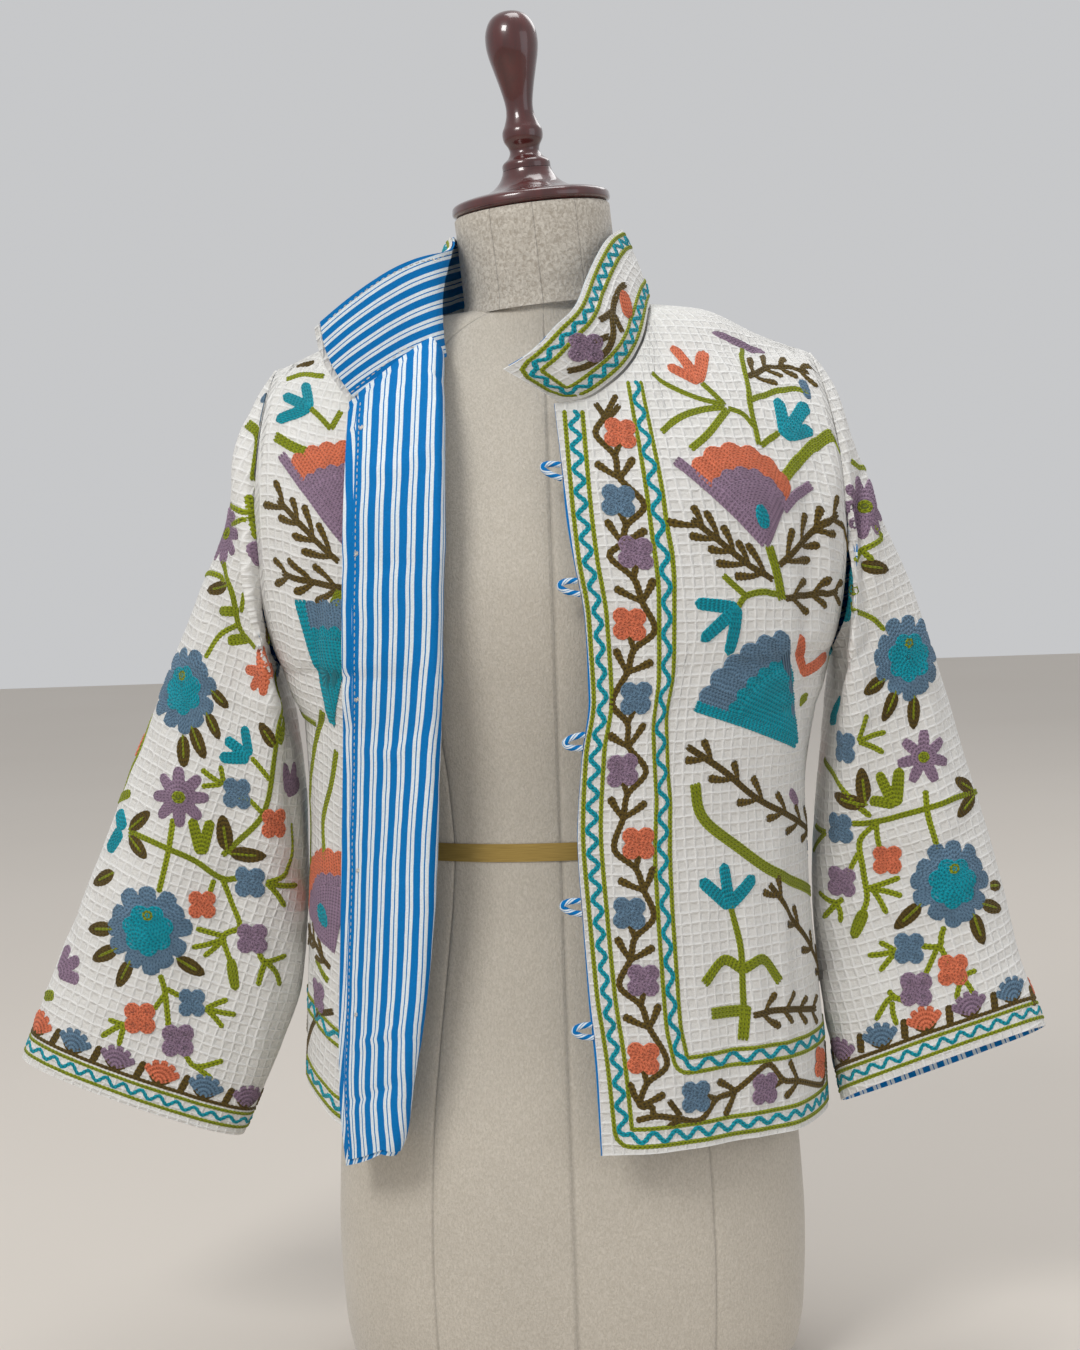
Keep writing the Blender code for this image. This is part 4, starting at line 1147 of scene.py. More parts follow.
def leaf(cloth, place, turn, length=18.0, width=8.0):
    spot = frameOf(cloth, place, turn)
    petal(cloth, "brown", spot, length, width, blunt=0.25)
    row(cloth, "olive", put(spot, np.linspace((0, -1), (0, length * 0.72), 12)), 2.0, 0.55)


def leaves(cloth, *each):
    for place, turn, length, width in each:
        leaf(cloth, place, turn, length, width)


def sprig(cloth, colour, *places, twigs=5, length=21.0, width=4.6, angle=37.0, first=0.10):
    # a stem with knobby twigs on both sides
    path = smooth(at(cloth, *places))
    flatStem(cloth, colour, path, width)
    gaps = lengthsAlong(path)
    for k in range(twigs):
        share = first + (1 - first) * k / max(1, twigs - 1) * 0.86
        for side in (-1, 1):
            where = min(share + (0.03 if side > 0 else 0), 0.98) * gaps[-1]
            places = [where, min(where + 2, gaps[-1]), max(where - 2, 0)]
            here, near, past = placesOn(path, gaps, places)
            forward = unit(near - past)
            c, s = cos(radians(angle) * side), sin(radians(angle) * side)
            way = np.array([forward[0] * c - forward[1] * s, forward[0] * s + forward[1] * c])
            far = length * (1 - 0.25 * share) * (1 + 0.12 * ((k * 7 + side) % 3 - 1))
            bend = forward * far * 0.12
            line = smooth([here, here + way * far * 0.5 - bend * 0.3, here + way * far + bend])
            row(cloth, colour, line, width, 0.15, thick=(0.75, 0.85, 1.0, 1.3, 1.25))


def winding(cloth, *stops, head=(), tail=(), size=12.0):
    # a stem that goes round each flower on one side, meets its stalk, and throws two twigs back past it;
    # a stop is colour, place, and 1 or -1 for the side of the stem that the flower is on
    spots = at(cloth, *[stop[1:3] for stop in stops])
    path = list(at(cloth, *head)) if head else []
    last = len(stops) - 1
    for k, (colour, x, y, side) in enumerate(stops):
        back = unit(spots[max(k - 1, 0)] - spots[min(k + 1, last)])
        spot = spots[k], np.array([back[1], -back[0]]) * cloth.right * cloth.up, back
        share = min(1.0, float(np.linalg.norm(spots[min(k + 1, last)] - spots[min(k, last - 1)])) / 50)
        turns = put(spot, [(-17 * side, -3), (-3.5 * side, -17.5), (0.5 * side, -17.5 - 16 * share)])
        path.extend(turns)
        row(cloth, "brown", smooth([put(spot, [(0, -size * 0.62)])[0], turns[1]]), 4.2, 0.1)
        fork = spot[1], spot[2]
        for twig in ((9 * side, 16), (-17 * side, 9)):
            tip = put((turns[2], *fork), [(0, 0), (twig[0] * 0.45, twig[1] * 0.4), twig])
            row(cloth, "brown", smooth(tip), 4.6, 0.12, thick=(0.85, 0.9, 1.0, 1.25, 1.2))
        crossFlower(cloth, colour, (x, y), size)
    path.extend(at(cloth, *tail) if tail else [])
    row(cloth, "brown", smooth(path), 4.6)


def ladder(cloth, path, inner, wavePeriod=16.5, sway=2.9):
    # the border: an olive row on each side of a teal zigzag; the path is the middle
    side = sideways(path)
    row(cloth, "olive", path + side * inner, 3.2)
    row(cloth, "olive", path - side * inner, 3.2)
    row(cloth, "teal", wave(path, sway, wavePeriod), 3.5, 0.1)


def corner(points, radius=6.0):
    # a flat path with its corners rounded a little
    p = np.asarray(points, float)
    out = [p[:1]]
    for k in range(1, len(p) - 1):
        a, b = unit(p[k - 1] - p[k]), unit(p[k + 1] - p[k])
        t = np.linspace(0, 1, 7)[:, None]
        out.append(mix(mix(p[k] + a * radius, p[k], t), mix(p[k], p[k] + b * radius, t), t))
    out.append(p[-1:])
    p = np.concatenate(out)
    gaps = lengthsAlong(p)
    where = np.linspace(0, gaps[-1], max(4, int(gaps[-1] / 3)))
    return placesOn(p, gaps, where)


def dashes(cloth, path, length=3.0, gap=1.8, width=0.9):
    # machine top-stitching: short white stitches that sink into the cloth
    gaps = lengthsAlong(path)
    for start in np.arange(1.0, gaps[-1] - length, length + gap):
        where = np.linspace(start, start + length, 3)
        row(cloth, "white", placesOn(path, gaps, where), width, -0.02, height=0.45)


def sewOn(cloth, face=1):
    # carry every row and ground to the cloth's outer side (or its inner one) as one mesh
    colours = list(yarns)
    flat, lift, uv, faces, index = [], [], [], [], []
    base = 0
    for colour, centre, outline, rise in cloth.patches:
        rings = max(2, int(np.linalg.norm(outline - centre, axis=1).max() / 4))
        n = len(outline)
        flat.append(centre[None])
        lift.append([rise + 0.3])
        uv.append([(0, 0.5)])
        for k in range(1, rings + 1):
            ring = mix(centre, outline, k / rings)
            flat.append(ring)
            lift.append(np.full(n, rise + (0.3 if k < rings else 0.02)))
            uv.append(np.stack([np.arange(n) * 1.7, np.full(n, 0.25 + 0.5 * (k % 2))], -1))
            for a in range(n):
                b = (a + 1) % n
                if k == 1:
                    faces.append((base, base + 1 + a, base + 1 + b))
                else:
                    near, far = base + 1 + (k - 2) * n, base + 1 + (k - 1) * n
                    faces.append((near + a, far + a, far + b, near + b))
                index.append(colours.index(colour))
        base += 1 + rings * n
    for colour, line, where, w, rise, height, closed in cloth.rowsOf:
        side = sideways(line)
        n = len(line)
        for share, tall, v in ((-0.5, 0.0, 0.0), (-0.22, 1.0, 0.28), (0.22, 1.0, 0.72), (0.5, 0.0, 1.0)):
            flat.append(line + side * (w * share)[:, None])
            pulse = 0.72 + 0.28 * (np.arange(n) % 2)
            lift.append(rise + 0.04 + tall * height * pulse * np.minimum(1, w / 2.2))
            uv.append(np.stack([where, np.full(n, v)], -1))
        for a in range(base, base + n - 1):
            faces += [(k + a, k + n + a, k + n + a + 1, k + a + 1) for k in (0, n, 2 * n)]
        index += [colours.index(colour)] * (3 * (n - 1))
        base += 4 * n
    flat, lift, uv = (np.concatenate(part) for part in (flat, lift, uv))
    i, j = cloth.invert(cloth.u, cloth.v, flat[:, 0], flat[:, 1])
    point = cloth.sample(cloth.grid, i, j)
    normal = unit(cloth.sample(cloth.normal, i, j))
    verts = point + normal * (cloth.wall + lift if face > 0 else -lift)[:, None]
    name = cloth.name + ("Embroidery" if face > 0 else "Stitches")
    obj = linkMesh(name, verts, faces, [threads[colour] for colour in colours], uv, index, sharp=None)
    mesh = obj.data
    # faces look away from the cloth
    looks = np.empty(len(mesh.polygons) * 3)
    mesh.polygons.foreach_get("normal", looks)
    first = np.array([f[0] for f in faces])
    wrong = np.einsum("ij,ij->i", looks.reshape(-1, 3), normal[first] * face) < 0
    if wrong.any():
        work = bmesh.new()
        work.from_mesh(mesh)
        work.faces.ensure_lookup_table()
        bmesh.ops.reverse_faces(work, faces=[work.faces[k] for k in np.flatnonzero(wrong)])
        work.to_mesh(mesh)
        work.free()
    mesh.calc_loop_triangles()
    print(name, "triangles", len(mesh.loop_triangles), "rows", len(cloth.rowsOf))


def even(count, start=0.0, end=1.0):
    return np.linspace(start, end, count)


makeCamera()
makeStudio()
waffle = waffleMaterial()
stripes = stripeMaterial("striped cotton lining")
stripesTurned = stripeMaterial("striped cotton lining, crosswise", turned=True)
threads = {name: threadMaterial("embroidery yarn, " + name, *pair) for name, pair in yarns.items()}
print("materials ready")

# the cut pieces

frontLeft = Cloth("frontLeft", even(62), even(136), frontLeftPoint, 1, cut="panel")
columns = np.concatenate([even(24, -1, -0.23), even(14, -0.22, -0.01), even(32, 0, 1)])
frontRight = Cloth("frontRight", columns, even(136), frontRightPoint, -1, cut="panel")
back = Cloth("backPanel", even(121, -1, 1), even(136), backPoint, -1, cut="panel")
around = even(97, -180, 180)
sleeveLeft, sleeveRight = (
    Cloth(name, around, even(128), partial(sleevePoint, side=side), side, closed=True, cut="sleeve")
    for name, side in (("sleeveLeft", 1), ("sleeveRight", -1))
)
collar = Cloth("standCollar", even(150), even(20), collarPoint, 1)
for j in range(20):     # the collar rolls softly over the neckline's corner
    reach = int(round(10 * (j / 19) ** 0.6))
    line = collar.grid[j].copy()
    for i in range(100, 144):
        span = min(reach, i - 96, 148 - i)
        if span > 0:
            share = 1 - np.abs(np.arange(-span, span + 1)) / (span + 1)
            collar.grid[j, i] = (line[i - span:i + span + 1] * share[:, None]).sum(axis=0) / share.sum()
collar.measure()
faceThe(frontLeft, 1, 1)
faceThe(frontRight, -1, 1, (37 / 69, 1.0))
faceThe(back, -1, 1)
faceThe(sleeveLeft, -1, -1, (0.5, 1.0))
faceThe(sleeveRight, 1, -1, (0.5, 1.0))
faceThe(collar, 1, 1, (0.0, 0.34))

# creases given one by one: places in the frame, or right and up on the cloth where it is hidden; then height
# and width
creases = dict(
    frontLeft=[
        (((800, 462), (806, 560), (799, 650), (806, 770)), -3.4, 11),
        (((834, 440), (822, 530), (826, 600)), 3.0, 8),
        (((640, 540), (652, 690), (640, 850)), 1.6, 17), (((742, 880), (750, 990), (744, 1140)), 2.6, 15),
        (((788, 860), (796, 990), (788, 1130)), -2.8, 12), (((682, 350), (722, 368), (768, 420)), 1.6, 7),
        (((700, 330), (752, 352), (806, 392)), -1.5, 6), (((690, 700), (742, 720), (800, 705)), -1.3, 9),
        (((582, 590), (606, 596), (632, 590)), -0.9, 4), (((588, 745), (612, 742), (640, 752)), -0.9, 4),
        (((588, 912), (616, 918), (640, 912)), 0.9, 4), (((590, 1036), (620, 1028), (644, 1034)), -0.9, 4),
        (((830, 620), (802, 640), (770, 636)), 1.8, 7), (((828, 660), (800, 684), (772, 690)), -1.8, 6),
    ],
    frontRight=[
        (((322, 560), (318, 660), (326, 780)), -2.8, 9), (((300, 520), (298, 600), (304, 690)), 2.6, 8),
        (((330, 830), (322, 900), (328, 980)), 2.0, 9), (((318, 880), (312, 950), (318, 1030)), -2.2, 7),
        (((282, 400), (310, 430), (336, 440)), -1.4, 6), (((300, 700), (320, 712), (336, 706)), 1.3, 5),
    ],
    backPanel=[
        (((-60, 560), (-20, 552), (40, 561)), -1.6, 7), (((-70, 545), (0, 534), (66, 546)), 1.5, 8),
        (((-110, 470), (-96, 330), (-112, 160)), 2.4, 17), (((20, 420), (34, 280), (16, 90)), -2.4, 18),
        (((96, 500), (120, 360), (104, 200)), 2.4, 15), (((150, 400), (164, 260), (150, 60)), -2.6, 14),
        (((-170, 360), (-156, 240), (-170, 80)), -2.6, 13), (((-60, 240), (-50, 120), (-64, 4)), 2.4, 14),
        (((-180, 330), (-130, 310), (-90, 318)), 1.6, 8), (((176, 326), (128, 300), (84, 306)), -1.7, 8),
    ],
    sleeveLeft=[
        (((856, 452), (840, 540), (846, 620), (838, 706)), -4.6, 9),
        (((874, 440), (864, 540), (876, 650)), 3.8, 9),
        (((905, 540), (926, 680), (938, 810)), 2.8, 14), (((896, 600), (862, 650), (832, 680)), -2.4, 7),
        (((930, 640), (888, 700), (842, 722)), 2.2, 8), (((965, 830), (925, 856), (868, 850)), -2.2, 8),
        (((975, 870), (930, 905), (880, 905)), 1.9, 8), (((850, 830), (842, 900), (848, 960)), -2.4, 9),
        (((838, 996), (900, 986), (960, 968), (1022, 940)), 1.3, 2.6),
        (((884, 880), (896, 930), (886, 1000)), 2.0, 9),
        (((940, 900), (962, 950), (974, 1000)), -1.9, 9), (((860, 740), (880, 790), (870, 840)), -1.8, 8),
    ],
    sleeveRight=[
        (((246, 428), (262, 520), (256, 610), (268, 690)), 4.2, 9),
        (((272, 440), (284, 540), (286, 640)), -3.6, 9),
        (((226, 470), (226, 560), (210, 650)), -3.0, 9), (((296, 690), (286, 780), (302, 870)), -3.6, 9),
        (((205, 606), (240, 636), (282, 622)), -2.4, 6), (((188, 650), (232, 690), (292, 690)), 2.2, 7),
        (((150, 700), (180, 770), (172, 850)), 2.4, 12), (((226, 790), (238, 860), (222, 950)), -2.4, 10),
        (((210, 880), (256, 852), (304, 872)), -1.9, 7), (((112, 880), (146, 934), (136, 1000)), 1.9, 11),
        (((40, 986), (110, 1008), (190, 1032), (262, 1044)), 1.3, 2.6),
        (((180, 960), (196, 1020), (184, 1090)), -1.9, 9),
        (((90, 900), (80, 960), (64, 1030)), -1.9, 9), (((262, 930), (268, 1000), (252, 1070)), 1.8, 8),
    ],
)
hiddenCreases = [  # on the unseen half of a sleeve: outward from its outer line, up from the cuff
    (((40, 500), (66, 420), (60, 340)), 4.2, 11), (((84, 490), (96, 400), (86, 310)), -4.4, 11),
    (((30, 340), (76, 320), (118, 336)), -2.4, 8),
    (((26, 300), (70, 282), (116, 290)), 2.4, 8), (((60, 250), (52, 160), (64, 60)), 2.6, 13),
    (((100, 230), (112, 140), (100, 40)), -3.0, 11),
    (((22, 210), (66, 190), (108, 200)), -1.9, 8), (((30, 150), (24, 90), (34, 20)), -2.2, 10),
    (((8, 40), (70, 40), (150, 40)), 1.3, 2.6),
]
for k, cloth in enumerate((frontLeft, frontRight, back, sleeveLeft, sleeveRight)):
    cloth.measured = cloth is back
    cloth.shape(creases[cloth.name], rough=0.7, seed=k + 1.0)
for cloth, outward in ((sleeveLeft, 1), (sleeveRight, -1)):
    cloth.measured, cloth.mirror = True, outward
    cloth.shape(hiddenCreases, rough=0.0)
frontRight.measured = True     # the turned-back flap: right of the fold line, up from the hem
frontRight.shape([(((20, 96), (40, 92), (66, 88)), -1.6, 4), (((18, 54), (40, 50), (70, 44)), 1.6, 4),
                  (((22, 300), (44, 292), (70, 300)), -1.1, 6),
                  (((24, 420), (46, 428), (66, 420)), 1.0, 7), (((30, 190), (34, 120), (30, 30)), 1.4, 9),
                  (((20, 500), (44, 492), (64, 500)), -1.2, 6)], rough=0.0)
collar.measured = True
collar.shape([(((14, 8), (34, 44)), 1.2, 6), (((96, 8), (102, 50)), -1.6, 8),
              (((150, 6), (158, 50)), 1.5, 9), (((215, 6), (220, 52)), -1.5, 8),
              (((262, 6), (270, 52)), 1.6, 8), (((318, 6), (326, 54)), -1.6, 8),
              (((372, 8), (384, 52)), 1.5, 7), (((410, 10), (428, 50)), -1.3, 7)],
             rough=0.5, seed=6.0)
print("cloths shaped")

cuts = dict(
    frontLeft=((0.32, 0.62), 0.140), frontRight=((0.34, 0.62), 0.143), backPanel=((0.60, 0.62), 0.296),
    sleeveLeft=((0.40, 0.56), 0.151), sleeveRight=((0.42, 0.56), 0.176), standCollar=((0.475, 0.073), 0.033),
)


def frontRoll(v):
    # how far the lining rolls out past the left front's edge: more in three places
    places = (1.3, 445, 28), (1.1, 325, 34), (1.2, 70, 75)
    return 0.2 + sum(far * np.exp(-((v - middle) / spread) ** 2) for far, middle, spread in places)


for cloth, inner, node, roll in (
    (frontLeft, stripes, "front_left", frontRoll), (frontRight, stripes, "front_right", None),
    (back, stripes, "back", None), (sleeveLeft, stripesTurned, "sleeve_left", None),
    (sleeveRight, stripesTurned, "sleeve_right", None), (collar, waffle, "collar", None),
):
    facts = dict(flat=cuts[cloth.name][0], held="hung", rests_on=["form_body"], area=cuts[cloth.name][1])
    sewCloth(cloth, waffle, inner, jacket["cloth"], node, facts, roll)
print("cut pieces sewn")


# wearer's left front: borders by the edge and hem, then the field

def embroiderFrontLeft():
    c = frontLeft
    side = float(c.u[0, -1])
    edge = [(12.5, 524), (9.8, 452), (8.3, 350), (8.5, 290), (10.3, 205), (11.2, 110), (13.5, 58)]
    ladder(c, corner(edge + [(16, 11.5), (side - 3, 11.5)]), 6.2)
    inner = list(at(
        c, (634, 382), (645, 440), (655, 498), (662, 548), (666, 601), (666, 640), (661, 705), (660, 750),
        (663, 800), (662, 865), (665, 920), (670, 990), (673, 1030), (681, 1066), (735, 1063), (812, 1057)))
    ladder(c, corner(inner + [(side - 3, inner[-1][1])]), 5.3, wavePeriod=21.0, sway=3.1)
    winding(
        c, ("coral", 620, 434, 1), ("slate", 618, 501, -1), ("mauve", 635, 553, 1), ("coral", 629, 624, -1),
        ("slate", 636, 698, 1), ("mauve", 622, 770, -1), ("coral", 638, 843, 1), ("slate", 629, 913, -1),
        ("mauve", 643, 980, 1), ("coral", 643, 1058, -1), head=((616, 396), (605, 417)),
        tail=((651, 1106), (653, 1117)))
    stems(c, "brown", 4.2, ((605, 418), (600, 411), (595, 404)), ((605, 419), (612, 415), (619, 406)))
    winding(
        c, ("slate", 695, 1097, 1), ("mauve", 764, 1101, -1), ("coral", 818, 1083, 1),
        head=((636, 1120), (656, 1116), (676, 1118)))
    stems(
        c, "brown", 4.2, ((680, 1116), (674, 1108), (668, 1100)), ((684, 1118), (676, 1121), (667, 1127)))
    sprig(c, "brown", (747, 378), (775, 369), (808, 374), twigs=4, length=17, angle=50)
    fingers(c, "coral", (697, 382), (667, 367), (672, 347), (703, 353), width=9)
    fingers(c, "teal", (784, 436), (777, 399), (806, 405), (811, 431), width=10)
    fan(c, "coral", "mauve", (767, 548), (692, 472), (789, 490), (751, 451), 0.24, (1.16, 0), "teal")
    stem(c, "mauve", (782, 510), (794, 496), (810, 485), width=7, lift=0.3)
    sprig(c, "brown", (772, 580), (745, 563), (716, 539), (691, 519), twigs=5)
    sprig(c, "brown", (778, 566), (798, 545), (818, 527), (836, 514), twigs=4)
    sprig(c, "brown", (784, 598), (812, 594), (836, 591), twigs=3, length=19)
    fingers(c, "teal", (736, 608), (694, 603), (700, 641), (727, 655), width=9)
    fingers(c, "coral", (801, 672), (798, 634), (824, 653), width=9.5)
    fan(c, "slate", "teal", (796, 744), (700, 704), (787, 636), top=(736, 656), band=0.26, arms=(1.03, 0))
    sprig(c, "brown", (810, 846), (766, 806), (724, 772), (686, 746), twigs=6)
    fingers(c, "teal", (728, 908), (699, 880), (753, 879), (722, 864), width=9.5)
    stem(c, "olive", (745, 1012), (742, 1047), width=8.2, lift=0.1)
    sprig(c, "brown", (816, 976), (794, 932), (768, 888), twigs=4, length=19)
    sprig(c, "brown", (752, 1023), (782, 1021), (814, 1024), twigs=4, length=17, angle=44)
    petals(c, "mauve", ((711, 334), 108, 46, 8), ((788, 792), 120, 20, 8))
    stems(c, "olive", 4.2,
        ((741, 350), (748, 393), (758, 446)), ((651, 374), (675, 390), (700, 400), (724, 406)),
        ((727, 409), (742, 415), (753, 428)), ((778, 433), (760, 447)))
    stems(c, "olive", 4.6,
        ((750, 401), (770, 394), (790, 390), (808, 394)), ((729, 906), (740, 953), (743, 1012)))
    petals(c, "slate", ((802, 381), 165, 18, 7))
    stems(c, "olive", 4.4,
        ((701, 384), (712, 394), (724, 406)), ((737, 607), (745, 596), (760, 592), (778, 594)),
        ((722, 575), (734, 586), (745, 596)))
    stem(c, "olive", (661, 433), (680, 418), (700, 411), (724, 408), width=4.8)
    stem(c, "olive", (690, 450), (708, 434), (727, 410), width=5)
    stems(c, "olive", 8,
        ((784, 478), (803, 455), (834, 441)), ((694, 783), (702, 818), (736, 848), (775, 877), (812, 902)))
    stem(c, "olive", (768, 546), (775, 570), (781, 600), width=7)
    petals(c, "olive", ((798, 702), 55, 14, 8), blunt=0.8)
    stems(c, "olive", 7.4, ((742, 974), (722, 963), (703, 985)), ((742, 974), (762, 966), (779, 991)))
    stem(c, "olive", (710, 1016), (748, 1017), width=8.2)


embroiderFrontLeft()


def embroiderFrontRight():
    c = frontRight
    side = float(c.u[0, -1])
    edge = float(c.u[0, 0])
    outer = [(edge + 9, 512), (edge + 9, 290), (edge + 14, 58), (edge + 16, 11.5), (side - 3, 11.5)]
    ladder(c, corner(outer), 6.2)
    ladder(c, corner([(52, 540), (46, 260), (42, 60), (side - 3, 60)]), 5.3, wavePeriod=21.0, sway=3.1)
    fingers(c, "teal", (310, 408), (306, 384), (284, 397), (277, 422), width=9)
    fan(c, "coral", "mauve", (354, 550), (291, 464), (388, 452), top=(335, 446), band=0.24, arms=(1.1, 0))
    sprig(c, "brown", (340, 562), (318, 542), (297, 520), (279, 500), twigs=4)
    sprig(c, "brown", (345, 588), (315, 582), (284, 573), twigs=3)
    fan(c, "slate", "teal", (336, 728), (306, 608), (362, 606), top=(334, 604), band=0.2, arms=(1.06, 0))
    fan(c, "coral", "mauve", (336, 954), (300, 858), (356, 862), (328, 852), 0.24, arms=(0, 0), drop="teal")
    sprig(c, "brown", (332, 968), (316, 940), (304, 908), twigs=4, length=15, width=4.2)
    petals(c, "brown", ((297, 369), 75, 20, 7))
    stem(c, "olive", (287, 381), (305, 376), (325, 378), width=5.6)
    stems(c, "olive", 4.4,
        ((311, 409), (322, 419), (332, 430)), ((342, 412), (332, 430)), ((300, 690), (318, 724)))
    stem(c, "olive", (276, 437), (291, 446), (308, 453), width=8)
    stem(c, "olive", (342, 590), (334, 606), width=7)
    stems(c, "olive", 5,
        ((324, 710), (318, 740), (304, 780), (305, 819), (314, 858)),
        ((338, 750), (333, 784), (325, 822), (327, 861)), ((318, 958), (330, 981)))
    crossFlower(c, "mauve", (320, 995), 12)
    stem(c, "brown", (301, 1013), (318, 1019), (335, 1011), width=4.6)
    stem(c, "brown", (319, 1007), (320, 1018), width=4.2)
    stem(c, "brown", (308, 1016), (302, 1008), (299, 1001), width=4.4)
    crossFlower(c, "slate", (298, 938), 9)


def embroiderCollar():
    c = collar
    end = float(c.u[0, -1])

    def over(u, inset):    # a place this far below the upper edge
        return u, float(np.interp(u, c.u[-1], c.v[-1])) - inset

    lower = [(u, 9.5) for u in np.linspace(17, end - 17, 84)]
    upper = [over(u, 9.5) for u in np.linspace(end - 17, 17, 84)]
    # rounded corners at both ends
    far = [(end - 11.5, 11.5), (end - 9.5, 17), over(end - 9.5, 17), over(end - 11.5, 11.5)]
    near = [over(11.5, 11.5), over(9.5, 17), (9.5, 17), (11.5, 11.5)]
    ladder(c, np.array(lower + far + upper + near + lower[:1]), 5.4, 13.5, 2.4)
    crossFlower(c, "mauve", (585, 348), 13)
    stem(
        c, "brown", (566, 371), (583, 367), (598, 358), (608, 347), (612, 333), (611, 318), (615, 296),
        width=5.2)
    stems(
        c, "brown", 5.0, ((598, 321), (605, 317), (611, 312)), ((592, 342), (601, 339), (608, 336)),
        ((621, 333), (617, 325), (613, 316)), ((615, 296), (619, 289), (624, 285)))
    petal(c, "coral", frameOf(c, (621, 291), 165), 24, 11, lift=0.2)
    c.measured = True    # the rest runs round the neck, out of the frame's sight
    for k in range(2, 6):
        a = 118 + k * 46
        colour = ("slate", "mauve", "coral")[k % 3]
        crossFlower(c, colour, (a, 29), 10.5)
        stem(c, "brown", (a - 26, 22), (a - 12, 20), (a + 8, 34), (a + 20, 32), width=3.4)
        stem(c, "brown", (a + 8, 34), (a + 16, 42), width=3.2)
        stem(c, "brown", (a - 20, 22), (a - 24, 35), width=3.2)


def cuffBand(c):
    # olive, zigzag, olive, and a brown line with little tulips and bars on it
    def ring(d):
        return np.stack([np.interp(np.linspace(0, 1, 150), np.linspace(0, 1, c.u.shape[1]), c.u[-1]),
                         np.interp(np.linspace(0, 1, 150), np.linspace(0, 1, c.u.shape[1]), c.v[-1]) - d], -1)
    row(c, "olive", ring(6.5), 2.6)
    row(c, "teal", wave(ring(12), 2.3, 14.0), 2.7, 0.1)
    row(c, "olive", ring(17.5), 2.6)
    row(c, "brown", ring(21.5), 2.8)
    around = float(c.u[-1, -1] - c.u[-1, 0])
    count = max(6, int(around / 34))
    kinds = ("coral", "slate", "mauve")
    for k in range(count):
        u = c.u[-1, 0] + around * (k + 0.5) / count
        v = float(np.interp(u, c.u[-1], c.v[-1])) - 22
        spot = (np.array([u, v]), np.array([float(c.right), 0.0]), np.array([0.0, -1.0]))
        petal(c, "brown", turned(spot, -58, ahead=1), 9, 4.5)
        petal(c, "brown", turned(spot, 58, ahead=1), 9, 4.5)
        for angle in (-56, -28, 0, 28, 56):
            colour = kinds[(k + (c is sleeveLeft)) % 3]
            petal(c, colour, turned(spot, angle, ahead=3), 16, 6, blunt=0.7, lift=0.3)
        bar = (np.array([u + around / count / 2, v]), spot[1], spot[2])
        petal(c, "brown", turned(bar, 12), 14, 5.4, blunt=0.9)


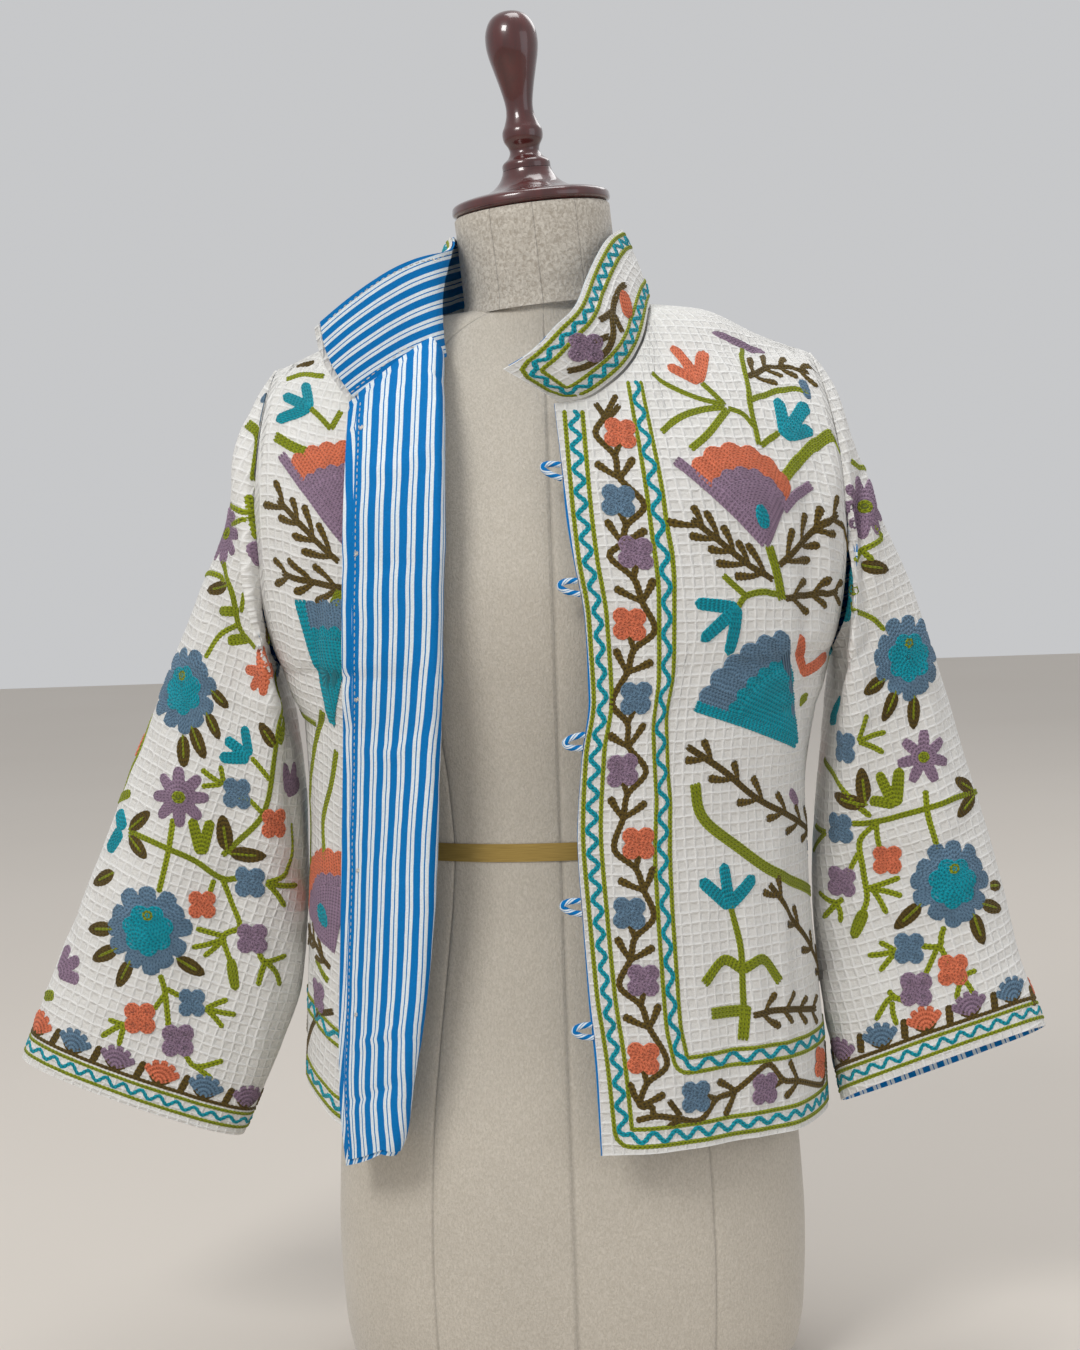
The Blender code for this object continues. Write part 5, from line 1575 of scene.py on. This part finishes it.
def embroiderSleeveRight():
    c = sleeveRight
    cuffBand(c)
    daisy(c, "mauve", (229, 534), 23, petals=9)
    for angle in (-5, -80, -150, 178, 70):
        petal(c, "coral", frameOf(c, (263, 672), angle), 17, 8, blunt=0.5)
    # lower arm: two roses, a daisy, and branches
    rose(c, "slate", "teal", (185, 690), 31)
    tulip(c, "mauve", (286, 790), 25, 18)
    daisy(c, "mauve", (179, 797), 22)
    rose(c, "slate", "teal", (148, 930), 32)
    tulip(c, "mauve", (62, 971), 55, 18)
    petals(c, "slate", ((262, 402), 45, 26, 9))
    stem(c, "olive", (249, 424), (262, 432), (273, 437), width=7)
    petals(c, "mauve", ((258, 530), 45, 16, 9), ((258, 530), 95, 18, 9), ((258, 530), 140, 16, 9))
    stems(c, "olive", 4,
        ((249, 495), (251, 514), (258, 527)), ((245, 592), (242, 612)),
        ((174, 818), (169, 850), (159, 892)), ((222, 878), (232, 902), (240, 926), (224, 936), (231, 962)),
        ((160, 974), (165, 992), (169, 1030)), ((127, 1023), (115, 1028), (102, 1036)),
        ((124, 1026), (119, 1045)))
    stems(c, "olive", 3.8,
        ((235, 507), (244, 512), (251, 515)), ((207, 562), (218, 575), (226, 584)),
        ((238, 624), (220, 636), (206, 658)), ((252, 757), (262, 769), (270, 780)),
        ((202, 769), (212, 777), (223, 782), (221, 765)), ((214, 879), (209, 895)),
        ((266, 882), (280, 885), (295, 885)), ((266, 882), (276, 893), (284, 906)),
        ((266, 882), (284, 874), (290, 856), (290, 823)), ((224, 936), (210, 932), (196, 928)),
        ((223, 939), (207, 944), (192, 947)), ((222, 941), (214, 948), (204, 956)),
        ((258, 950), (265, 961), (285, 955)), ((265, 961), (275, 972), (279, 985)),
        ((265, 961), (261, 973), (258, 985)), ((166, 992), (154, 1009)), ((166, 988), (180, 996)),
        ((206, 1008), (217, 1003), (228, 999)), ((206, 1008), (222, 1012), (236, 1014)),
        ((206, 1008), (215, 1017), (223, 1027)), ((124, 1024), (109, 1019)),
        ((185, 1054), (196, 1066), (223, 1060)), ((196, 1066), (212, 1078)))
    stems(c, "olive", 3.6,
        ((234, 527), (243, 520), (251, 518)), ((156, 708), (140, 745), (120, 800)),
        ((202, 786), (222, 784)), ((238, 796), (250, 800), (262, 812)))
    stem(c, "olive", (224, 560), (232, 590), (241, 628), (257, 648), width=4.4)
    leaves(c,
        ((228, 586), -105, 21, 10), ((266, 643), -3, 24, 8), ((292, 634), -35, 20, 8),
        ((213, 690), 138, 18, 9), ((208, 713), 155, 21, 9), ((193, 727), 160, 25, 10),
        ((184, 736), 179, 23, 10), ((274, 746), -30, 21, 10), ((131, 829), 50, 23, 11),
        ((131, 836), 145, 23, 11), ((227, 850), -8, 27, 12), ((230, 853), 92, 28, 12),
        ((115, 873), -117, 22, 11), ((113, 929), -90, 22, 11), ((118, 948), -115, 23, 11),
        ((131, 961), -153, 22, 10), ((177, 958), 120, 24, 11))
    petals(c, "olive",
        ((240, 611), -90, 18, 7), ((250, 638), -97, 19, 8), ((47, 996), 88, 13, 8), blunt=0.8)
    crossFlowers(c, "slate", ((292, 664), 9), ((238, 793), 12), ((250, 882), 12), ((192, 1002), 11))
    crossFlowers(c, "coral", ((146, 744), 10), ((274, 823), 11.5), ((202, 904), 11), ((140, 1018), 12.5))
    petals(c, "olive", ((122, 802), 48, 26, 8), blunt=0.7)
    petals(c, "teal",
        ((250, 756), -10, 22, 8.5), ((124, 830), -10, 16, 11), ((122, 830), -150, 20, 11), blunt=0.9)
    petals(c, "teal", ((250, 757), -52, 24, 8), blunt=0.9, lift=0.1)
    petals(c, "teal", ((250, 758), -88, 26, 8.5), blunt=0.9, lift=0.15)
    stems(c, "olive", 4.2,
        ((280, 632), (277, 704), (274, 755), (265, 809), (236, 843), (222, 855)),
        ((130, 831), (152, 841), (172, 850), (196, 861), (222, 878), (238, 878)))
    petals(c, "olive", ((278, 744), 12, 18, 8))
    petals(c, "olive", ((201, 854), -14, 28, 8), ((202, 854), 14, 27, 8), blunt=0.85)
    crossFlowers(c, "mauve", ((252, 938), 12), ((178, 1040), 13))
    petals(c, "olive", ((231, 958), 172, 24, 8), blunt=0.6)


def embroiderSleeveLeft():
    c = sleeveLeft
    cuffBand(c)
    daisy(c, "mauve", (864, 507), 23, petals=9)
    rose(c, "slate", "teal", (907, 657), 30)
    daisy(c, "mauve", (923, 757), 20, petals=7)
    rose(c, "slate", "teal", (953, 883), 31)
    stems(c, "olive", 4,
        ((849, 461), (856, 467), (862, 474), (861, 492)), ((854, 562), (862, 550), (880, 538), (872, 526)),
        ((862, 550), (872, 560)), ((858, 741), (862, 728), (866, 714)),
        ((821, 753), (834, 772), (846, 792), (870, 816)), ((925, 790), (928, 816), (937, 848)),
        ((876, 822), (860, 840), (863, 869), (867, 897), (863, 912)), ((868, 888), (884, 883), (900, 877)),
        ((868, 888), (886, 891), (902, 896)), ((872, 888), (880, 900), (887, 913)),
        ((944, 926), (941, 936), (939, 946), (921, 946)))
    stem(c, "olive", (861, 463), (862, 473), width=3.6)
    petals(c, "teal", ((849, 590), 0, 22, 9), ((849, 590), 180, 22, 9))
    leaves(c,
        ((861, 564), 104, 24, 10), ((884, 679), -122, 23, 11), ((895, 692), -157, 23, 11),
        ((913, 696), 182, 24, 11), ((865, 802), -9, 26, 12), ((866, 804), -82, 30, 11),
        ((971, 791), -55, 23, 11), ((972, 795), -147, 27, 11), ((921, 904), -132, 27, 11),
        ((972, 914), 160, 24, 11), ((981, 904), 106, 20, 10), ((989, 886), 92, 11, 8))
    petals(c, "olive", ((851, 590), 70, 14, 8), blunt=0.8)
    stems(c, "olive", 3.8,
        ((856, 606), (870, 617), (884, 630)), ((858, 741), (872, 735), (885, 732)),
        ((858, 741), (871, 746), (883, 752)), ((828, 832), (818, 826), (808, 821)),
        ((828, 832), (821, 840), (814, 850)), ((876, 822), (877, 836), (880, 850)),
        ((859, 852), (854, 862), (849, 873)), ((844, 898), (836, 902), (821, 892)),
        ((837, 902), (832, 909), (825, 917)), ((837, 902), (841, 912), (841, 922)),
        ((896, 951), (888, 946), (879, 942)), ((896, 951), (882, 954), (868, 955)),
        ((896, 951), (888, 961), (880, 971)), ((939, 944), (944, 954), (948, 962)),
        ((938, 946), (931, 962), (924, 978)), ((961, 978), (968, 973), (976, 970)),
        ((961, 978), (968, 985), (973, 994)), ((961, 978), (958, 989), (956, 999)),
        ((905, 1001), (890, 998), (876, 1020)), ((897, 1000), (888, 990)),
        ((892, 1001), (893, 1013), (897, 1025)))
    petals(c, "teal", ((834, 719), 24, 26, 9), blunt=0.9)
    petals(c, "teal", ((833, 719), 76, 20, 9), blunt=0.9, lift=0.1)
    crossFlowers(c, "slate", ((845, 747), 12), ((840, 828), 12), ((909, 948), 12))
    petals(c, "olive",
        ((895, 806), -28, 29, 8), ((896, 806), 4, 29, 9), ((895, 804), -80, 20, 8), blunt=0.85)
    stem(c, "olive", (975, 791), (957, 797), (940, 804), (905, 814), (877, 821), (852, 823), width=4.2)
    crossFlowers(c, "coral", ((887, 859), 11.5), ((953, 970), 12))
    crossFlowers(c, "mauve", ((843, 881), 12), ((916, 989), 13))
    petals(c, "olive", ((865, 909), -158, 24, 9), blunt=0.6)


def sleeveBackField(c, outward):
    # the hidden half of a sleeve repeats the front's flowers; a is outward from the outer line
    c.measured, c.mirror = True, outward
    daisy(c, "mauve", (55, 470), 23, petals=9)
    rose(c, "slate", "teal", (60, 352), 30)
    for a, b, turn in ((32, 332, -125), (44, 320, -155), (60, 316, 180), (78, 322, 150)):
        leaf(c, (a, b), turn, 22, 10)
    tulip(c, "teal", (112, 330), 12, 22, width=8)
    daisy(c, "mauve", (48, 250), 20)
    rose(c, "slate", "teal", (60, 146), 30)
    for a, b, turn in ((30, 150, -90), (34, 130, -120), (50, 117, -160), (86, 128, 125)):
        leaf(c, (a, b), turn, 21, 10)
    for fork, *tips in (
        ((107, 158), (126, 158), (130, 146), (96, 140)), ((92, 92), (104, 104), (112, 90), (104, 78)),
        ((38, 82), (26, 92), (22, 80), (30, 68)),
    ):
        for tip in tips:
            stem(c, "olive", fork, tip, width=3.8)
    stems(c, "olive", 4,
        ((55, 446), (60, 420), (72, 395)), ((112, 330), (104, 300), (88, 268)),
        ((48, 228), (52, 205), (60, 180)), ((18, 205), (52, 205), (84, 214), (112, 232)),
        ((96, 190), (104, 165), (112, 140)), ((62, 115), (66, 98), (60, 80)))
    leaves(c,
        ((62, 425), 70, 22, 10), ((60, 418), -75, 22, 10), ((84, 216), -10, 24, 11),
        ((88, 214), 100, 24, 11), ((24, 208), 40, 20, 10), ((22, 203), 150, 20, 10))
    crossFlowers(c, "slate", ((116, 236), 12), ((90, 92), 11.5))
    crossFlowers(c, "coral", ((100, 262), 11), ((112, 185), 11), ((42, 84), 12))
    crossFlowers(c, "mauve", ((116, 132), 12), ((62, 70), 12))
    c.measured, c.mirror = False, 1


def embroiderBack():
    c = back
    c.measured = True
    low = -float(c.u[0, 0]), float(c.u[0, -1])
    for v, gap, period in ((11.5, 6.2, 16.5), (60, 5.3, 21.0)):
        across = np.linspace(-low[0] + 3, low[1] - 3, 160)
        ladder(c, np.stack([across, np.full(160, float(v))], -1), gap, period)
    colours = ("slate", "mauve", "coral")
    stops = [(colours[k % 3], -224 + 50 * k, 36 + 2 * (-1) ** k, (-1) ** k) for k in range(10)]
    winding(c, *stops, head=((-250, 30),))
    for m in (-1, 1):
        c.mirror = m
        sprig(c, "brown", (100, 530), (130, 534), (160, 524), twigs=4)
        tulip(c, "coral", (52, 512), -12, 26, width=8.5)
        tulip(c, "teal", (128, 468), 28, 26, width=8.5)
        fan(c, "coral", "mauve", (112, 380), (64, 436), (150, 440), (104, 458), 0.24, (1.16, 1.1), "teal")
        sprig(c, "brown", (110, 352), (76, 376), (44, 412), twigs=6)
        sprig(c, "brown", (116, 360), (150, 392), (172, 430), twigs=6)
        tulip(c, "teal", (62, 322), -35, 22, width=8)
        tulip(c, "coral", (160, 306), 20, 21, width=8)
        fan(c, "slate", "teal", (146, 232), (72, 262), (142, 312), top=(100, 300), band=0.26, arms=(1.03, 0))
        sprig(c, "brown", (166, 150), (120, 182), (72, 224), twigs=6)
        tulip(c, "teal", (96, 120), 0, 26, width=8.5)
        sprig(c, "brown", (206, 90), (176, 100), (150, 130), twigs=5)
        sprig(c, "brown", (112, 80), (150, 80), (196, 80), twigs=5, angle=50)
        rose(c, "slate", "teal", (212, 196), 24)
        daisy(c, "mauve", (204, 320), 18)
        sprig(c, "brown", (18, 92), (26, 150), (22, 214), twigs=6)
        petals(c, "mauve", ((70, 548), 82, 44, 7))
        stem(c, "olive", (95, 545), (98, 500), (104, 462), width=4.2)
        stem(c, "olive", (100, 506), (130, 516), (162, 508), width=4.4)
        petals(c, "slate", ((160, 512), 130, 22, 8))
        stems(c, "olive", 3.6,
            ((54, 510), (66, 494), (98, 482)), ((20, 500), (44, 494), (72, 490)),
            ((28, 462), (50, 480), (76, 489)), ((126, 468), (106, 460)), ((64, 322), (84, 336), (110, 346)))
        stem(c, "olive", (128, 436), (148, 456), (178, 466), width=6.6)
        stem(c, "olive", (112, 382), (112, 344), width=5)
        stem(c, "olive", (158, 304), (150, 270), width=3.8)
        stem(c, "olive", (70, 206), (92, 172), (130, 146), (176, 118), width=6.4)
        stems(c, "olive", 4, ((96, 120), (104, 96), (106, 74)), ((212, 222), (214, 250)))
        stems(c, "olive", 6, ((104, 100), (88, 106), (76, 92)), ((104, 100), (122, 106), (134, 90)))
        crossFlower(c, "coral", (214, 262), 12)
        crossFlower(c, "mauve", (36, 244), 12)
    c.mirror = 1
    sprig(c, "brown", (0, 250), (0, 320), (0, 392), twigs=7)
    tulip(c, "coral", (0, 400), 0, 24, width=9)
    daisy(c, "mauve", (0, 470), 20)
    stem(c, "olive", (0, 425), (0, 448), width=4)
    c.measured = False


embroiderFrontRight()
embroiderCollar()
embroiderSleeveRight()
embroiderSleeveLeft()
sleeveBackField(sleeveLeft, 1)
sleeveBackField(sleeveRight, -1)
embroiderBack()

for cloth in (frontLeft, frontRight, back, sleeveLeft, sleeveRight, collar):
    sewOn(cloth)
print("embroidery sewn")

# striped linings of the turned-out parts, each offset from the cloth it lines


def liningOf(cloth, name, keep, rows, gap, zero):
    # a second sheet on the inner side of part of a cloth
    lining = Cloth.__new__(Cloth)
    lining.name, lining.closed, lining.sign, lining.cut = name, cloth.closed, cloth.sign, cloth.cut
    lining.columns, lining.rows = cloth.columns[keep], cloth.rows[rows]
    lining.grid = cloth.grid[rows][:, keep] - cloth.normal[rows][:, keep] * gap
    lining.zero, lining.weave = zero, None
    lining.measure()
    faceThe(lining, cloth.right, cloth.up)
    return lining


turnedBack = np.flatnonzero(frontRight.columns <= 0.10)[3:]
flapLining = liningOf(frontRight, "flapLining", turnedBack, slice(1, 136), 1.6, 0)
collarLining = liningOf(collar, "collarLining", np.arange(1, 149), slice(0, 20), 1.7, 0)
# the turned-out part is rolled past the outer edge, and tucked down along the neck seam
edge = collarLining.grid[:, 86:]
edge[19] += (edge[19] - edge[18]) * 0.3
edge[0] += (edge[0] - edge[1]) * 0.8
sag = 11.0 * hump(collarLining.px[:, 86:], 432, 30) * np.maximum(0, 1 - np.arange(20) / 7)[:, None]
edge += np.array([0, 0, -1.0]) * sag[..., None] - collarLining.normal[:, 86:] * (0.14 * sag)[..., None]
collarLining.measure()
# its stripes rise in even bows towards the neck
px, py = photoPlace(edge)
bowed = -0.75 * (py + 0.9 * (px - 328) - 0.00264 * (px - 328) ** 2)
bowed = bowed - bowed[10, 12] + collarLining.v[10, 98]
share = np.clip((np.arange(bowed.shape[1]) - 3) / 6, 0, 1)
collarLining.weave = np.stack([collarLining.u, collarLining.v], -1)
collarLining.weave[:, 86:, 1] = mix(collarLining.v[:, 86:], bowed, share)
cuff = np.flatnonzero(sleeveLeft.rows >= 13 / 14)
cuffLining = liningOf(sleeveLeft, "cuffLiningLeft", np.arange(97), cuff, 1.4, 48)
for cloth, material, node, flat, held, under, area in (
    (flapLining, stripes, "flap_lining", (0.115, 0.58), "folded", frontRight, 0.056),
    (collarLining, stripesTurned, "collar_lining", (0.465, 0.073), "hung", collar, 0.033),
    (cuffLining, stripes, "cuff_lining_left", (0.35, 0.04), "hung", sleeveLeft, 0.012),
):
    facts = dict(flat=flat, held=held, rests_on=[under.obj], area=area)
    sewCloth(cloth, material, material, jacket["lining"], node, facts)

# top-stitching along the free edge and the hem, then the thread tacks where the buttons are sewn through
edge = flapLining.u[:, 0]
share = np.linspace(0.01, 0.99, 120)
dashes(flapLining, np.stack([np.interp(share, even(len(edge)), edge) + 2.2, share * flapLining.v[-1, 0]], -1))
dashes(flapLining, np.stack([np.linspace(edge[0] + 2, -4, 30), np.full(30, 3.0)], -1))
for x, z in ((-130, 719), (-135, 632), (-139.5, 530), (-145, 407), (-150, 304)):
    spot = np.concatenate(flapLining.seen([x], [z], 0, 20))
    for turn in (0.4, 1.3, 2.5):
        way = np.array([cos(turn), sin(turn)]) * 1.9
        row(flapLining, "white", np.linspace(spot - way, spot + way, 4), 1.5, 0.1, height=0.9)
sewOn(flapLining, -1)
along = np.linspace(4, collarLining.u[-1, -1] - 4, 120)
dashes(collarLining, np.stack([along, np.interp(along, collarLining.u[-1], collarLining.v[-1]) - 3.4], -1))
dashes(collarLining, np.stack([along[2:], np.full(118, 3.4)], -1))
sewOn(collarLining, -1)
print("linings sewn")

# rouleau loops and covered buttons


def tube(name, path, radius, material, node, bias=0.7):
    # a turned fabric tube along a path, its stripes on the bias
    p = np.asarray(path, float)
    ahead = unit(np.gradient(p, axis=0))
    first = unit(np.cross(ahead, (0, 1.0, 0.2)))
    second = np.cross(ahead, first)
    gaps = lengthsAlong(p)
    sides = 12
    turn = np.arange(sides + 1) / sides * 2 * pi
    puff = radius * (1 + 0.04 * np.sin(gaps * 1.9))[:, None, None]
    spoke = np.cos(turn)[:, None] * first[:, None] + np.sin(turn)[:, None] * second[:, None]
    ring = p[:, None] + puff * spoke
    verts = np.concatenate([ring[:, :sides].reshape(-1, 3), p[:1], p[-1:]])
    places = [(radius * a + bias * g, g - a) for g in gaps for a in turn[:sides]] + [(0, 0), (0, 0)]
    turnFacesOut(linkMesh(name, verts, ringFaces(len(p), sides), [material], places, node=node))


rouleau = stripeMaterial("striped cotton rouleau", repeat=6.4)
buttonCloth = waffleMaterial("plain cotton button cover", 1.5)
for number, (height, droop) in enumerate(loopPlaces, 1):
    reach = unit(np.array([-1, -0.12, droop]))
    path = []
    for turn in np.linspace(-pi / 2, pi / 2, 25):
        rise = jacket["loopHalf"] * sin(turn)
        edge = frontLeftPoint(np.array(0.0), np.array((height + rise - 203) / 529))
        stand = 0.6 + 2.4 * abs(droop) + jacket["loopReach"] * cos(turn)
        path.append(edge + reach * stand + (0, -jacket["cloth"] / 2, 0))
    tube("loop%d" % number, path, jacket["loopTube"] / 2, rouleau, "loop_%d" % number)


def lathe(name, profile, base, axis, side, steps, material, node, pucker=0.0):
    # a turned form: radius and height pairs about an axis
    profile = np.asarray(profile, float)
    other = np.cross(axis, side)
    turn = np.arange(steps) / steps * 2 * pi
    rim = np.clip(profile[:, :1] / profile[:, 0].max() - 0.6, 0, 1)
    radius = profile[:, :1] * (1 + pucker * np.cos(11 * turn) * rim)
    spoke = np.cos(turn)[:, None] * side + np.sin(turn)[:, None] * other
    ring = np.asarray(base, float) + axis * profile[:, 1, None, None] + radius[..., None] * spoke
    verts = np.concatenate([ring.reshape(-1, 3), [base + axis * profile[0, 1], base + axis * profile[-1, 1]]])
    places = [(r * np.cos(a), r * np.sin(a)) for r in profile[:, 0] for a in turn] + [(0, 0), (0, 0)]
    faces = ringFaces(len(profile), steps)
    turnFacesOut(linkMesh(name, verts, faces, [material], places, sharp=40, node=node))


buttonProfile = [
    (0.6, 3.0), (2.0, 2.85), (3.4, 2.3), (4.5, 1.3), (5.0, 0.2),
    (4.75, -0.7), (4.0, -1.5), (2.6, -2.1), (1.4, -2.4), (1.3, -3.0),
]
for number, t in enumerate(buttonPlaces, 1):
    # sewn to the turned-back side, where only the back and top views reach them
    i = np.interp([-0.8], frontRight.columns, np.arange(len(frontRight.columns)))
    j = np.array([t * (len(frontRight.rows) - 1)])
    spot, out = (frontRight.sample(field, i, j)[0] for field in (frontRight.grid, frontRight.normal))
    out = unit(out)
    side = unit(np.cross(out, (0, 0, 1.0)))
    spot = spot + out * (jacket["cloth"] + jacket["seam"] + 3.2)
    name, node = "button%d" % number, "button_%d" % number
    lathe(name, buttonProfile, spot, out, side, 22, buttonCloth, node, 0.05)
print("loops and buttons made")

# the dress form

form = table(
    "z    half  front  back  power",
    (0,   148,    92,    96,  0.88),
    (6,   160,   101,   105,  0.88),
    (22,  171,   110,   114,  0.88),
    (55,  176,   115,   119,  0.88),
    (110, 178,   117,   121,  0.88),
    (160, 176,   116,   121,  0.88),
    (215, 171,   112,   117,  0.88),
    (270, 161,   105,   108,  0.88),
    (330, 148,    98,    97,  0.88),
    (380, 138,    93,    89,  0.88),
    (415, 134,    92,    86,  0.88),
    (460, 138,    95,    87,  0.88),
    (520, 150,   106,    92,  0.88),
    (570, 158,   116,    96,  0.88),
    (600, 160,   118,    97,  0.88),
    (640, 162,   110,    97,  0.88),
    (680, 166,    97,    95,  0.90),
    (715, 168,    84,    88,  0.94),
    (740, 167,    74,    80,  1.00),
    (757, 163,    66,    72,  1.06),
    (769, 156,    61,    66,  1.12),
    (780, 148,    58,    62,  1.20),
    (790, 129,    57,    59,  1.30),
    (797, 106,    57,    57,  1.36),
    (801,  81,    57,    56,  1.36),
    (803,  60,    57,    56,  1.10),
)
stand = dict(
    neckBase=(0.5, -1, 802), neckLean=-5.0, neckHalf=57.5, neckLength=74.0, ribbonLow=407.0, ribbonHigh=420.0,
    seamSink=0.9,
    cap=[(54, 0), (58, 2), (58.5, 5), (57, 8.5), (50, 11), (38, 13), (28, 17), (22, 22), (19, 27), (18, 30)],
    finial=[(17.8, 0), (17.4, 5), (13, 9), (11, 13), (11.8, 17), (14.5, 22), (14.8, 28), (12.6, 33),
            (10.4, 40), (10.2, 48), (12.5, 60), (15.5, 72), (18.2, 83), (19.3, 92), (18.4, 101),
            (14.6, 109), (8.5, 113.5), (1.2, 115)],
)
neckBase = np.array(stand["neckBase"], float)
lean = np.array([sin(radians(stand["neckLean"])), 0, cos(radians(stand["neckLean"]))])
leanSide = np.array([lean[2], 0, -lean[0]])


def formRing(z, turn, grow=0.0):
    c, s = np.cos(turn), np.sin(turn)
    half = read(form, "half", z) + grow
    depth = np.where(s < 0, read(form, "front", z), read(form, "back", z)) + grow
    power = read(form, "power", z)
    x, y = half * np.abs(c) ** power * np.sign(c), depth * np.abs(s) ** power * np.sign(s)
    return np.stack(np.broadcast_arrays(x, y, z), -1)


def makeForm():
    # padded panels joined at sunk seams, and a neck covered in a coarser cut of the same velour
    places = set(np.round(np.linspace(-471, 471, 116), 1))
    for seam in velour["seams"]:
        places = {a for a in places if abs(a - seam) > 5}
        places |= {min(max(seam + d, -471.2), 471.2) for d in (-4.2, -1.5, 0, 1.5, 4.2)}
    across = np.array(sorted(places))
    across = across[across > -471]
    turn = across / 150 - pi / 2
    body = np.concatenate([[0, 2, 6], np.linspace(11, 780, 104), [785, 790, 794, 797, 799.5, 801.5, 803]])
    neckTop = stand["neckLength"]
    neck = np.array([2, 3.5, 5, 8, 12, 18, 26, 36, 46, 56, 66, neckTop - 1.5, neckTop])
    rings = []
    sink = sum(np.exp(-((across - seam) / 1.7) ** 2) for seam in velour["seams"])
    for z in body:
        ring = formRing(np.full_like(turn, z), turn)
        fade = min(1, z / 8) * min(1, max(0, (800 - z) / 30))
        rings.append(ring - unit(ring * (1, 1, 0)) * (stand["seamSink"] * fade * sink)[:, None])
    for d in neck:
        half = stand["neckHalf"] + 2.5 * hump(d, 0, 14) - (1.2 if d == neck[-1] else 0)
        spoke = leanSide * np.cos(turn)[:, None] + np.array([0, 1, 0]) * np.sin(turn)[:, None]
        rings.append(neckBase + lean * d + half * spoke)
    n, rows = len(turn), len(rings)
    verts = np.concatenate(rings + [[(0, 0, 0)], [neckBase + lean * neckTop]])
    faces, index, corners = [], [], []
    heights = np.concatenate([body, 803 + neck])
    for j in range(rows - 1):
        for i in range(n):
            k = (i + 1) % n
            faces.append((j * n + i, j * n + k, (j + 1) * n + k, (j + 1) * n + i))
            index.append(1 if j >= len(body) - 1 else 0)
            right = across[k] if k else 471.2
            low, high = heights[j], heights[j + 1]
            corners += [(across[i], low), (right, low), (right, high), (across[i], high)]
    for i in range(n):
        k = (i + 1) % n
        faces.append((rows * n, k, i))
        faces.append((rows * n + 1, (rows - 1) * n + i, (rows - 1) * n + k))
        index += [0, 1]
        corners += [(20, 20)] * 6
    covers = [velourMaterial(*velour[name]) for name in ("body", "neck")]
    obj = linkMesh("dressForm", verts, faces, covers, corners, index, 50, "form_body")
    turnFacesOut(obj)
    return obj


dressForm = makeForm()
ribbonTurn = np.linspace(-pi / 2 - pi, pi / 2, 129)


def ribbonPoint(a, z):
    grow = 0.35 + 0.25 * hump(z, (stand["ribbonLow"] + stand["ribbonHigh"]) / 2, 8)
    return formRing(z, a, grow)


ribbonRows = np.linspace(stand["ribbonLow"], stand["ribbonHigh"], 7)
ribbon = Cloth("waistRibbon", ribbonTurn, ribbonRows, ribbonPoint, 1, closed=True)
around = float(ribbon.u[3, -1] - ribbon.u[3, 0]) * mm
gold = ribbonMaterial()
girth = round(around, 3)
facts = dict(flat=(girth, 0.013), held="stretched", rests_on=[dressForm], area=girth * 0.013)
sewCloth(ribbon, gold, gold, 0.6, "form_waist_ribbon", facts)
mahogany = mahoganyMaterial()
top = stand["neckLength"] + jacket["seam"]
for name, part, rise, steps, node in (
    ("neckCap", "cap", top, 96, "form_neck_cap"),
    ("finial", "finial", top + jacket["seam"] + 30, 72, "form_finial"),
):
    profile = smooth(stand[part])[::3]
    lathe(name, profile, neckBase + lean * rise, lean, leanSide, steps, mahogany, node)
print("dress form made")

board = bpy.data.meshes.new("floor")
board.from_pydata([(-6, -6, 0), (6, -6, 0), (6, 6, 0), (-6, 6, 0)], [], [(0, 1, 2, 3)])
board.materials.append(floorMaterial())
floor = bpy.data.objects.new("floor", board)
bpy.context.scene.collection.objects.link(floor)
